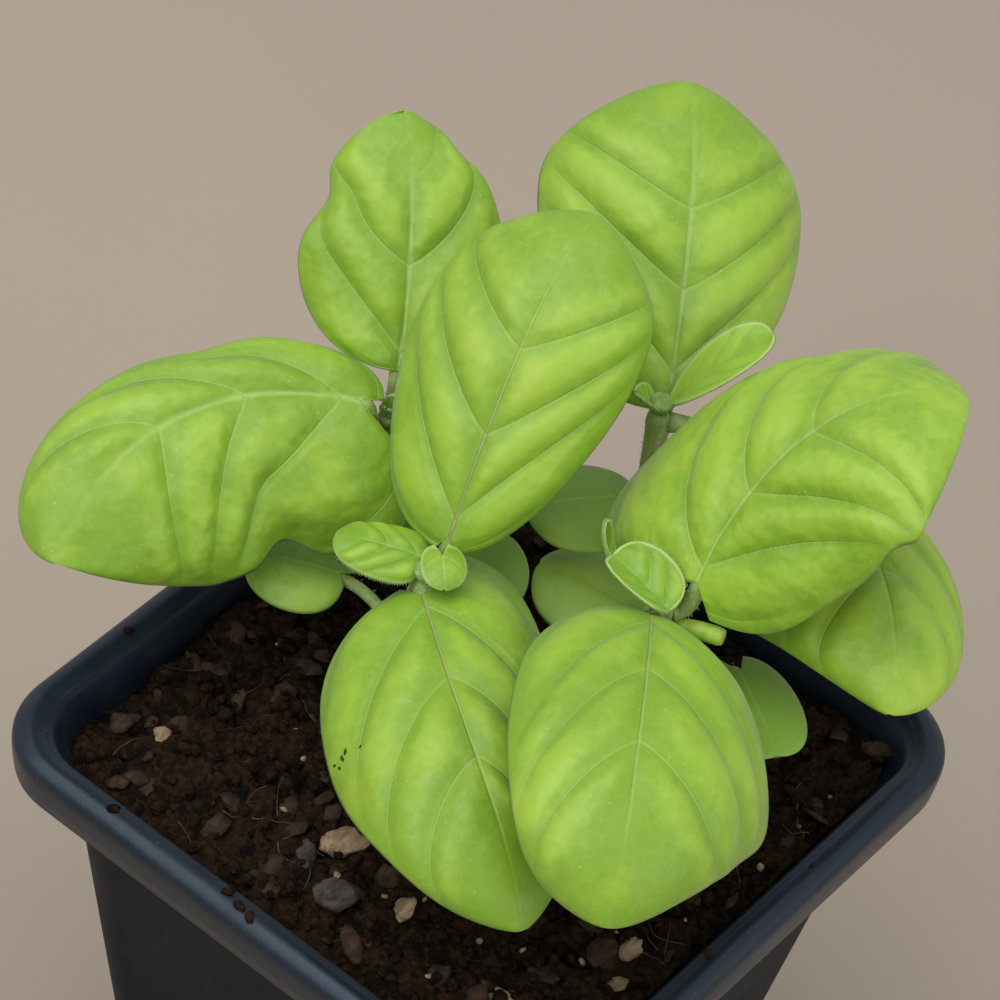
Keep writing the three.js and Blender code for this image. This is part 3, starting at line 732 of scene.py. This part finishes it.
def blade_points(leaf, u, t):
    """Points of the middle surface: u goes along the midrib, t from the right margin to the left one."""
    sign = np.where(t >= 0, 1.0, -1.0)
    out = np.abs(t)
    ahead, left, normal = leaf_frame(leaf, u)
    width = width_at(leaf, u, t)
    curl = np.radians(np.where(t >= 0, *leaf["curl"]))
    across = width * np.sin(curl * out) / curl
    rise = -width * (1 - np.cos(curl * out)) / curl
    rise = rise + leaf.get("puff", 0) * crest(leaf, u, out)
    turns = leaf.get("waves", 0) * u + 0.25 * sign
    rise = rise + leaf.get("wave", 0) * out**3 * np.sin(2 * np.pi * turns)
    lobe = np.where(t >= 0, *leaf.get("lobe", (0, 0)))
    back = -lobe * (1 - u) ** LOBE_FALL * out**LOBE_SPREAD
    level = midrib(leaf, u) + left * (sign * across)[..., None]
    return level + normal * rise[..., None] + ahead * back[..., None]


def blade_patch(leaf, u, t):
    """A point of the blade's middle surface and the direction out of its upper face."""
    u, t = np.array([[float(u)]]), np.array([[float(t)]])
    normal = np.cross(*changes(blade_points, leaf, u, t))
    return blade_points(leaf, u, t), normal / np.linalg.norm(normal)


def blade_part(leaf, grid, thickness, looks):
    """A closed blade: an upper sheet of material 0 and a lower one of material 1, with one margin."""
    rows, columns = grid
    points, normals, measures = blade(leaf, rows, columns)
    out = np.abs(np.linspace(-1, 1, columns))
    half = (thickness / 2 * np.sqrt(1 - out**EDGE_FULLNESS))[None, :, None]
    sheets = np.stack([points + normals * half, points - normals * half])

    # The sheets share their margins, and each end of the blade is one point.
    ids = np.arange(2 * rows * columns).reshape(2, rows, columns)
    ids[1, :, [0, -1]] = ids[0, :, [0, -1]]
    ids[:, [0, -1]] = ids[0, [0, -1], columns // 2][:, None]
    used, ids = np.unique(ids, return_inverse=True)
    ids = ids.reshape(2, rows, columns).tolist()
    faces, which = [], []
    rings = (((0, 0), (1, 0), (1, 1), (0, 1)), ((0, 0), (0, 1), (1, 1), (1, 0)))
    for face, ring in enumerate(rings):
        for i, j in np.ndindex(rows - 1, columns - 1):
            loop = list(dict.fromkeys(ids[face][i + di][j + dj] for di, dj in ring))
            if len(loop) > 2:
                faces.append(loop)
                which.append(face)
    placed = sheets.reshape(-1, 3)[used]
    attributes = {key: np.tile(values.ravel(), 2)[used] for key, values in measures.items()}
    for key, value in zip(LOOK_NAMES, looks):
        attributes[key] = np.full(len(placed), value)
    return placed, faces, which, attributes


def stem_axis(plant, z):
    """The stem stands straight in the soil, and leans evenly from there to the fork."""
    foot, fork = plant["foot"], plant["fork"]
    share = np.maximum(np.asarray(z, float) - SOIL_TOP, 0) / (fork[2] - SOIL_TOP)
    x, y = (foot[k] + (fork[k] - foot[k]) * share for k in (0, 1))
    return np.stack([x, y, z + 0 * share], -1)


def stalk_root(name):
    """Where a leaf's stalk starts on the middle line of its stem."""
    plant = PLANTS[name[-2]]
    return stem_axis(plant, plant["fork"][2] if name in LEAVES else plant["seed_leaves"])


def petiole_path(leaf, root, reach, drop, count):
    """The stalk's middle line: level out from the stem, then in a curve up to the blade's base."""
    base = np.array(leaf["base"], float)
    outward = (base - root) * (1, 1, 0)
    outward /= np.linalg.norm(outward)
    start = root + outward * reach
    ahead, _, normal = leaf_frame(leaf, 0.0)
    span = np.linalg.norm(base - start)
    end = base - normal * drop
    return bezier(start, start + outward * span / 3, end - ahead * span / 3, end, count)


def petiole_part(leaf, root, radius, rib_end):
    """The stalk from the stem to the blade, and on under the blade as its midrib."""
    path = petiole_path(leaf, root, STEM_RADIUS - STALK_SEAT, SUNK * radius, PETIOLE_STEPS)
    shares = np.linspace(RIB_START, rib_end, RIB_STEPS)
    taper = radius * (1 - RIB_TAPER * shares / rib_end)
    rib = midrib(leaf, shares) - leaf_frame(leaf, shares)[2] * SUNK * radius
    radii = np.concatenate([np.full(PETIOLE_STEPS, radius), taper])
    radii[: len(PETIOLE_FLARE)] *= PETIOLE_FLARE
    return tube(np.vstack([path, rib]), radii, 14, 2)


def leaf_piece(name, leaf, kind, looks):
    parts = [
        blade_part(leaf, kind["grid"], kind["thickness"], looks),
        petiole_part(leaf, stalk_root(name), kind["radius"], kind["rib_end"]),
    ]
    add_piece(f"{name}_fine", parts, kind["materials"], name)


def tip_piece(name, leaves):
    """The bud, lower in its upper half, and the two young leaves over it."""
    plant = PLANTS[name[-1]]
    height = plant["fork"][2] + STEM_END + SEAT_GAP + BUD_RADIUS
    middle = stem_axis(plant, height)
    rings = np.linspace(-1, 1, 14)
    path = middle + np.outer(np.where(rings > 0, BUD_TOP, 1) * rings * BUD_RADIUS, (0, 0, 1))
    parts = [tube(path, BUD_RADIUS * np.sqrt(np.maximum(1 - rings**2, 0.02)), 16, 2)]
    for leaf in leaves:
        looks = (leaf.get("tint", 0.0), *TIP_LOOKS)
        parts.append(blade_part(leaf, YOUNG_BLADE_GRID, YOUNG_BLADE_THICKNESS, looks))
    add_piece(f"{name}_fine", parts, [YOUNG_TOP, LEAF_UNDER, STALK], name)


def stem_piece(name, plant):
    fork = plant["fork"][2]
    seed = plant["seed_leaves"]
    top = fork + STEM_END
    levels, extra = zip(
        (SOIL_TOP - ROOTED_DEPTH, 0),
        (SOIL_TOP, STEM_FOOT_RADIUS - STEM_RADIUS),
        (SOIL_TOP + 6, 0),
        (seed - 2, 0),
        (seed, NODE_SWELLING),
        (seed + 3, 0),
        (fork - 2, 0),
        (fork, NODE_SWELLING),
        (top, -0.2),
        (top + 0.3, -0.7),
    )
    heights = np.append(np.linspace(levels[0], top, 60), levels[-1])
    radii = STEM_RADIUS + np.interp(heights, levels, extra)
    parts = [tube(stem_axis(plant, heights), radii, 20, squareness=STEM_SQUARENESS)]
    if "stub" in plant:
        root = stem_axis(plant, fork - STUB_ROOT_DROP)
        shares = np.linspace(0, 1, 14)
        bow = np.outer(STUB_BOW * np.sin(np.pi * shares), (0, 0, 1))
        path = root + np.outer(shares, np.array(plant["stub"]) - root) + bow
        radii = STUB_RADIUS * np.concatenate([[1.15, 1.08], np.full(11, 1.0), [0.82]])
        parts.append(tube(path, radii, 14, 1))
    add_piece(f"{name}_fine", parts, [STALK, STUB][: len(parts)], name)


LEAF_KIND = dict(
    slot="leaf", materials=(LEAF_TOP, LEAF_UNDER, STALK),
    grid=(112, 81), thickness=0.5, radius=1.1, rib_end=0.7, hairs=70,
)
SEED_LEAF_KIND = dict(
    slot="seed_leaf", materials=(SEED_TOP, SEED_UNDER, STALK),
    grid=(48, 33), thickness=0.6, radius=0.8, rib_end=0.35, hairs=24,
)

# Depth of colour, partly painted light and shade, rosiness of the midrib, height of the soft lumps and
# half the midrib's width
LOOK_NAMES = ("tint", "blush", "quilting", "rib_width")
# Painted light and shade in the depth of colour: leaf_c2 is lighter as leaf_d1 shades it, and leaf_b1 is
# darker as it faces the light
LOOKS = {
    "leaf_a1": (0.0, 0.45, 1.7, 0.32),
    "leaf_a2": (0.3, 0.45, 1.7, 0.34),
    "leaf_b1": (0.45, 0.0, 3.0, 0.9),
    "leaf_b2": (0.25, 0.0, 2.4, 0.7),
    "leaf_c1": (-0.1, 0.15, 2.2, 0.6),
    "leaf_c2": (-0.4, 0.0, 1.6, 0.4),
    "leaf_d1": (-0.25, 0.0, 3.4, 0.5),
    "leaf_d2": (0.25, 0.35, 1.5, 0.34),
}
SEED_LEAF_LOOKS = (0.0, 1.2, 0.3)
# Painted light: cotyledon_a1 and cotyledon_d1 are lighter as other leaves shade them
SEED_LEAF_TINTS = {"cotyledon_a1": 0.05, "cotyledon_d1": -0.8}
SEED_LEAF_TINT = 0.6
TIP_LOOKS = (0.0, 0.9, 0.3)
for name, leaf in LEAVES.items():
    leaf_piece(name, leaf, LEAF_KIND, LOOKS[name])
for name, leaf in SEED_LEAVES.items():
    looks = (SEED_LEAF_TINTS.get(name, SEED_LEAF_TINT), *SEED_LEAF_LOOKS)
    leaf_piece(name, leaf, SEED_LEAF_KIND, looks)
for name, leaves in TIPS.items():
    tip_piece(name, leaves)
for name, plant in PLANTS.items():
    stem_piece(f"stem_{name}", plant)


# Hairs: short pale cones on the young leaves' margins, the upper stems and the leaf stalks

HAIR_RADIUS = 0.045
HAIR_BOW = 0.2
HAIR_TURNS = (0.0, 2.094, 4.189)
HAIR_SPREAD = 0.35
MARGIN_HAIRS_PER_MM = 3
MARGIN_HAIR_LENGTHS = (0.2, 0.45)
STEM_HAIRS = 190
STEM_HAIR_LENGTHS = (0.4, 0.9)
HAIRY_STRETCH = 14
PETIOLE_HAIR_LENGTHS = (0.35, 0.8)


def hair(root, direction, length):
    direction = direction / np.linalg.norm(direction)
    side = np.cross(direction, (0.21, 0.53, 0.82))
    side /= np.linalg.norm(side)
    other = np.cross(direction, side)
    ring = [root + HAIR_RADIUS * (np.cos(a) * side + np.sin(a) * other) for a in HAIR_TURNS]
    bent = root + direction * length + side * HAIR_BOW * length
    return plain(np.vstack([ring, [bent]]), [(0, 1, 3), (1, 2, 3), (2, 0, 3), (0, 2, 1)])


def hairs_for(letter, plant):
    parts = []
    for leaf in TIPS[f"tip_{letter}"]:
        shares = np.linspace(0.06, 0.97, int(leaf["length"] * MARGIN_HAIRS_PER_MM))
        for sign in (-1.0, 1.0):
            margin = blade_points(leaf, shares, np.full(len(shares), sign))
            inner = blade_points(leaf, shares, np.full(len(shares), 0.9 * sign))
            for edge, inside in zip(margin, inner):
                lean = edge - inside
                lean = lean / np.linalg.norm(lean) + rng.normal(0, HAIR_SPREAD, 3)
                parts.append(hair(edge, lean, rng.uniform(*MARGIN_HAIR_LENGTHS)))
    top = plant["fork"][2]
    for _ in range(STEM_HAIRS):
        height = rng.uniform(top - HAIRY_STRETCH, top + 1.2)
        turn = rng.uniform(0, 2 * np.pi)
        out = np.array([np.cos(turn), np.sin(turn), rng.uniform(-0.2, 0.5)])
        skin = stem_axis(plant, height) + out * (1, 1, 0) * (STEM_RADIUS - 0.05)
        parts.append(hair(skin, out, rng.uniform(*STEM_HAIR_LENGTHS)))
    for name, leaf in {**LEAVES, **SEED_LEAVES}.items():
        if name[-2] != letter:
            continue
        kind = LEAF_KIND if name in LEAVES else SEED_LEAF_KIND
        path = petiole_path(leaf, stalk_root(name), STEM_RADIUS, 0, 20)
        for _ in range(kind["hairs"]):
            k = rng.integers(0, 19)
            lean = np.cross(path[k + 1] - path[k], rng.normal(0, 1, 3))
            lean /= np.linalg.norm(lean)
            skin = path[k] + lean * kind["radius"] * 0.95
            parts.append(hair(skin, lean, rng.uniform(*PETIOLE_HAIR_LENGTHS)))
    add_piece(f"hairs_{letter}", parts, [HAIR])


for letter, plant in PLANTS.items():
    hairs_for(letter, plant)


# Pot


def rounded_square(half, corner, z):
    """A ring of points at a height: a square with rounded corners."""
    ring = []
    reach = (half - corner) * np.sqrt(2)
    for quarter in range(4):
        middle = np.radians(45 + 90 * quarter)
        for step in range(CORNER_STEPS + 1):
            angle = np.radians(90 * quarter + 90 * step / CORNER_STEPS)
            x = reach * np.cos(middle) + corner * np.cos(angle)
            ring.append((x, reach * np.sin(middle) + corner * np.sin(angle), z))
    return ring


def body_at(z):
    """Half the body's width and its corner radius at a height."""
    share = z / (POT_HEIGHT - SKIRT_DROP)
    half = BODY_FOOT_HALF + (BODY_TOP_HALF - BODY_FOOT_HALF) * share
    return half, FOOT_CORNER + (RIM_CORNER - FOOT_CORNER) * share


def inside_at(z):
    half, corner = body_at(z)
    return half - WALL, corner - WALL


def smoothed(count, *points):
    """A smooth line through the points, with count steps in each stretch."""
    points = np.asarray(points, float)
    ends = np.vstack([2 * points[0] - points[1], points, 2 * points[-1] - points[-2]])
    made = []
    for k in range(1, len(ends) - 2):
        a, b, c, d = ends[k - 1 : k + 3]
        for s in np.linspace(0, 1, count, endpoint=False):
            square = (2 * a - 5 * b + 4 * c - d) * s**2
            cube = (3 * b - a - 3 * c + d) * s**3
            made.append(0.5 * (2 * b + (c - a) * s + square + cube))
    return [*made, points[-1]]


rim = POT_SIDE / 2
skirt = POT_HEIGHT - SKIRT_DROP
shoulder = skirt + SHOULDER_THICKNESS
# Points of the outline, each half the width, the corner's radius and the height
foot = smoothed(
    4,
    (BODY_FOOT_HALF - 1.2, FOOT_CORNER - 1.2, 0),
    (BODY_FOOT_HALF - 0.3, FOOT_CORNER - 0.3, 0.3),
    (BODY_FOOT_HALF, FOOT_CORNER, 1.2),
)
hem = smoothed(
    4,
    (rim - 1.6, RIM_CORNER, shoulder),
    (rim - 1.5, RIM_CORNER, skirt + 0.3),
    (rim - 0.9, RIM_CORNER, skirt),
    (rim - 0.3, RIM_CORNER, skirt + 0.6),
)
lip = smoothed(
    5,
    (rim - 0.1, RIM_CORNER, skirt + 2.5),
    (rim, RIM_CORNER, POT_HEIGHT - RIM_ROUND),
    (rim - RIM_ROUND / 3, RIM_CORNER, POT_HEIGHT - RIM_ROUND / 3),
    (rim - RIM_ROUND, RIM_CORNER - 1, POT_HEIGHT),
    (rim - 3.2, RIM_CORNER - 2, POT_HEIGHT - 0.3),
    (rim - RIM_WIDTH, RIM_CORNER - 2.4, POT_HEIGHT - 1.5),
    (*inside_at(skirt), skirt - 1),
)
under_rim = body_at(shoulder)[0]
floor_half, floor_corner = inside_at(FLOOR)
outline = [
    *foot,
    (*body_at(skirt / 2), skirt / 2),
    (under_rim, RIM_CORNER, shoulder - 0.4),
    (under_rim + 0.3, RIM_CORNER, shoulder),
    *hem,
    *lip,
    (*inside_at(FLOOR + 1.5), FLOOR + 1.5),
    (floor_half - 1.2, floor_corner - 1.2, FLOOR),
]
rings = [rounded_square(*point) for point in outline]
parts = [ring_surface(rings, (0, 0, 0), (0, 0, FLOOR))]
pot = add_piece("pot_fine", parts, [POT_BODY, POT_RIM_PAINTED_REFLECTION], "pot")
for polygon in pot.data.polygons:
    polygon.material_index = int(polygon.center.z > skirt * MM)
for sx, sy in ((1, 1), (-1, 1), (-1, -1), (1, -1)):
    path = [(sx * DRAIN_REACH, sy * DRAIN_REACH, z) for z in (-2, 1, 4)]
    points, faces, _, _ = tube(path, [DRAIN_RADIUS] * 3, 40)
    cutter = add_mesh("drain", points, faces)
    cut = pot.modifiers.new("drain", "BOOLEAN")
    cut.operation = "DIFFERENCE"
    cut.object = cutter
    cut.solver = "EXACT"
    bpy.context.view_layer.objects.active = pot
    bpy.ops.object.modifier_apply(modifier=cut.name)
    bpy.data.objects.remove(cutter)
pot.data.set_sharp_from_angle(angle=np.radians(SHARP_DEGREES))


# Soil


SOIL_HALF, SOIL_CORNER = 38.6, 7.4
SOIL_EDGE = 0.94
SOIL_EDGE_DROP = 1.2
SOIL_GAPS = ((SOIL_TOP - 4, 0.3), (FLOOR + 0.3, 1.4))
# Size, height and seed of each kind of clod
CLODS = ((4.2, 1.3, 3.0), (2.0, 0.8, 11.0), (1.0, 0.35, 23.0))
CLOD_REACH = 0.75
CLODS_SUNK = 1.0
GRAIN_SIZE = 1.6
GRAIN_HEIGHT = 0.5


def crumbs(x, y):
    """The soil's broad lumps, as in its solid."""
    broad = np.sin(0.21 * x + 1.3) * np.sin(0.17 * y + 0.4)
    fine = np.sin(0.63 * x - 0.31 * y) * np.sin(0.52 * y + 0.28 * x + 2)
    return CRUMB_HEIGHT * (0.6 * broad + 0.5 * fine)


def clods(x, y):
    """Clods of three sizes and fine grain, as a height above the soil's broad lumps."""
    height = 0.0
    for size, tall, seed in CLODS:
        where = Vector((x / size + seed, y / size - seed, seed))
        near = noise.voronoi(where)[0][0]
        height += tall * max(1 - (near / CLOD_REACH) ** 2, 0) ** 0.5
    where = Vector((x / GRAIN_SIZE, y / GRAIN_SIZE, 5.0))
    return height + GRAIN_HEIGHT * noise.fractal(where, 0.8, 2.1, 4)


def soil_height(x, y):
    return SOIL_TOP + float(crumbs(x, y)) + clods(x, y) - CLODS_SUNK


side = np.linspace(-SOIL_HALF, SOIL_HALF, SOIL_GRID)
grid = np.stack(np.meshgrid(side, side, indexing="ij"))
corner = np.maximum(np.abs(grid) - (SOIL_HALF - SOIL_CORNER), 0)
past = np.maximum(np.hypot(*corner) / SOIL_CORNER, 1)
grid = np.sign(grid) * (np.abs(grid) - corner + corner / past)
heights = np.array([[soil_height(x, y) for x, y in zip(*row)] for row in zip(*grid)])
edge_share = np.abs(grid).max(0) / SOIL_HALF
heights -= np.clip((edge_share - SOIL_EDGE) / (1 - SOIL_EDGE), 0, 1) * SOIL_EDGE_DROP
points = np.stack([*grid, heights], -1).reshape(-1, 3)
n = SOIL_GRID
last = n * n - n
faces = [(k, k + n, k + n + 1, k + 1) for k in range(last) if k % n < n - 1]
loop = [*range(0, last, n), *range(last, n * n - 1), *range(n * n - 1, n - 1, -n), *range(n - 1, 0, -1)]
edge = points[loop]
for level, gap in SOIL_GAPS:
    share = (inside_at(level)[0] - gap) / SOIL_HALF
    ring = list(range(len(points), len(points) + len(loop)))
    points = np.vstack([points, edge * (share, share, 0) + (0, 0, level)])
    for k in range(len(ring)):
        faces.append((loop[k - 1], ring[k - 1], ring[k], loop[k]))
    loop = ring
faces.append(loop[::-1])
add_piece("soil_surface", [plain(points, faces)], [PEAT], "soil")


def lump(at, size, turn, roughness, seed, fineness=2):
    """A part that is an uneven pebble of peat or bark."""
    sphere, faces = LUMP_FORMS[fineness]
    points = sphere.copy()
    for k, point in enumerate(points):
        where = Vector(point) * 1.3 + Vector((seed, -seed, 0.7 * seed))
        uneven = roughness * noise.noise(where) + 0.5 * roughness * noise.noise(where * 2.7)
        points[k] = point * (1 + uneven)
    about_x, about_y, about_z = (Matrix.Rotation(angle, 3, axis) for angle, axis in zip(turn, "XYZ"))
    matrix = np.array(about_z @ about_y @ about_x)
    return plain(points * size @ matrix.T + at, faces)


def ball(fineness):
    work = bmesh.new()
    bmesh.ops.create_icosphere(work, subdivisions=fineness, radius=1)
    points = np.array([vertex.co[:] for vertex in work.verts])
    faces = [tuple(vertex.index for vertex in face.verts) for face in work.faces]
    work.free()
    return points, faces


LUMP_FORMS = {k: ball(k) for k in (2, 3)}
LUMP_WIDTHS = (0.55, 0.9)
LUMP_TILT = 0.35


def inside_soil():
    return rng.uniform(-SOIL_HALF + 1.5, SOIL_HALF - 1.5, 2)


def scatter(name, count, sizes, flatness, material, roughness):
    """Lumps at random places, each sunk by a quarter of its height."""
    parts = []
    for k in range(count):
        x, y = inside_soil()
        size = rng.uniform(*sizes)
        form = size * np.array([1, rng.uniform(*LUMP_WIDTHS), rng.uniform(*flatness)])
        turn = (rng.normal(0, LUMP_TILT), rng.normal(0, LUMP_TILT), rng.uniform(0, np.pi))
        z = soil_height(x, y) + 0.5 * form[2]
        parts.append(lump((x, y, z), form, turn, roughness, k * 1.37))
    add_piece(name, parts, [material])


scatter("peat_crumbs", 620, (0.35, 1.1), (0.6, 0.95), PEAT, 0.55)
scatter("bark_chips", 150, (0.6, 2.1), (0.16, 0.34), BARK, 0.65)
scatter("pale_crumbs", 60, (0.3, 0.75), (0.4, 0.8), WOOD, 0.4)

# The larger chips lie where the photograph shows them: place, half sizes, turn and material.
CHIPS = [
    ((-33.3, -14.0), (2.0, 1.2, 0.9), 0.4, BARK),
    ((-30.4, -26.7), (1.7, 1.5, 0.9), 1.1, WOOD),
    ((-2.8, -23.8), (3.0, 2.0, 1.5), 0.7, WOOD),
    ((-4.9, -28.2), (2.1, 1.3, 1.1), 2.2, GREY_CHIP),
    ((2.0, -30.7), (2.6, 2.2, 1.5), 0.2, GREY_CHIP),
    ((9.4, -26.1), (1.9, 1.2, 0.9), 1.8, WOOD),
    ((8.8, -35.4), (2.4, 1.2, 0.9), 2.6, BARK),
    ((25.8, -28.2), (2.5, 1.0, 0.8), 0.3, WOOD),
    ((33.0, -11.3), (1.8, 1.2, 0.8), 1.3, WOOD),
    ((34.5, -15.9), (1.9, 1.0, 0.8), 0.9, WOOD),
    ((35.7, 36.1), (2.0, 1.3, 0.9), 0.5, BARK),
]
by_material = {}
for k, ((x, y), form, turn, material) in enumerate(CHIPS):
    at = (x, y, soil_height(x, y) + 0.35 * form[2])
    chip = lump(at, form, (0.12, -0.15, turn), 0.35, 40 + k * 2.1, 3)
    by_material.setdefault(material, []).append(chip)
for material, parts in by_material.items():
    add_piece(f"chips_{material.name}", parts, [material])

# Dark specks on one leaf: share of the length, place across it and half length
SPECKS = [
    (0.407, -0.92, 0.24), (0.41, -0.84, 0.42), (0.4, -0.8, 0.34),
    (0.413, -0.673, 0.22), (0.426, -0.885, 0.26),
]
SPECK = chip_material("speck", (0.022, 0.024, 0.007), (0.07, 0.08, 0.025), 2400)
parts = []
for k, (u, t, size) in enumerate(SPECKS):
    at, normal = (found[0, 0] for found in blade_patch(LEAVES["leaf_a2"], u, t))
    points, faces, _, _ = lump((0, 0, 0), (size, 0.6 * size, 0.08), (0, 0, 2.3 * k), 0.8, 60 + k)
    across = np.cross(normal, (0, 1, 0))
    across /= np.linalg.norm(across)
    axes = np.stack([across, np.cross(normal, across), normal])
    parts.append(plain(points @ axes + at + normal * (LEAF_KIND["thickness"] / 2 + 0.02), faces))
add_piece("leaf_a2_specks", parts, [SPECK])

# Root fibres and slivers
FIBRES = 110
parts = []
for _ in range(FIBRES):
    x, y = inside_soil()
    turn = rng.uniform(0, 2 * np.pi)
    length = rng.uniform(2, 7)
    steps = np.linspace(0, 1, 8)
    along = length * (steps - 0.5)
    aside = rng.normal(0, 0.5) * np.sin(np.pi * steps)
    px = np.clip(x + along * np.cos(turn) - aside * np.sin(turn), 1 - SOIL_HALF, SOIL_HALF - 1)
    py = np.clip(y + along * np.sin(turn) + aside * np.cos(turn), 1 - SOIL_HALF, SOIL_HALF - 1)
    lift = rng.uniform(-0.1, 0.5)
    pz = [soil_height(a, b) for a, b in zip(px, py)]
    level = np.mean(pz) + lift
    path = np.stack([px, py, 0.6 * np.array(pz) + 0.4 * level + lift], 1)
    radius = rng.uniform(0.04, 0.10)
    parts.append(tube(path, radius * (1 - 0.6 * steps), 5))
add_piece("root_fibres", parts, [FIBRE])

# Crumbs that lie on the rim
RIM_CRUMBS = [
    (-3.1, -42.9), (-5.6, -42.2), (-1.2, -43.4), (41.8, -8),
    (-24, -42.6), (42.6, 12), (17, 42.4), (-42.5, -20),
]
parts = []
for k, (x, y) in enumerate(RIM_CRUMBS):
    size = rng.uniform(0.35, 0.9)
    at = (x, y, POT_HEIGHT + 0.35 * size - 0.1)
    parts.append(lump(at, (size, 0.7 * size, 0.5 * size), (0, 0, k), 0.5, 90 + k))
add_piece("rim_crumbs", parts, [PEAT])


# Floor, light and camera

FLOOR_REACH = 3000
TARGET = (0, 0, 0.11)
SKY_COLOUR = (0.93, 0.95, 0.97, 1)
SKY_STRENGTH = 0.52

corners = [(sx * FLOOR_REACH, sy * FLOOR_REACH, 0) for sx, sy in ((-1, -1), (1, -1), (1, 1), (-1, 1))]
floor = add_mesh("floor", corners, [(0, 1, 2, 3)])
floor.data.materials.append(FLOOR_PAINT)


def area_light(name, at, size, power, colour):
    data = bpy.data.lights.new(name, "AREA")
    data.shape = "SQUARE"
    data.size = size
    data.energy = power
    data.color = colour
    light = bpy.data.objects.new(name, data)
    light.location = at
    light.rotation_euler = (Vector(TARGET) - Vector(at)).to_track_quat("-Z", "Y").to_euler()
    scene.collection.objects.link(light)


area_light("key", (-0.24, -0.48, 0.98), 1.1, 5.75, (1.0, 0.99, 0.97))
area_light("top", (-0.05, 0.05, 1.05), 0.9, 2.0, (0.93, 0.97, 1.0))
area_light("fill", (0.80, 0.05, 0.45), 0.7, 1.6, (1.0, 0.98, 0.95))

world = bpy.data.worlds.new("studio")
world.use_nodes = True
sky = world.node_tree.nodes["Background"].inputs
sky["Color"].default_value = SKY_COLOUR
sky["Strength"].default_value = SKY_STRENGTH
scene.world = world
scene.view_settings.view_transform = "Standard"

camera_data = bpy.data.cameras.new("camera")
camera_data.sensor_width = SENSOR_WIDTH
camera_data.lens = FOCAL_PIXELS / IMAGE_PIXELS * SENSOR_WIDTH
camera_data.clip_start = 0.01
camera_data.clip_end = 20
camera = bpy.data.objects.new("camera", camera_data)
axes = Matrix((CAMERA_RIGHT, CAMERA_UP, CAMERA_BACK)).transposed()
camera.matrix_world = Matrix.Translation(Vector(CAMERA_AT) * MM) @ axes.to_4x4()
scene.collection.objects.link(camera)
scene.camera = camera

bpy.context.view_layer.update()
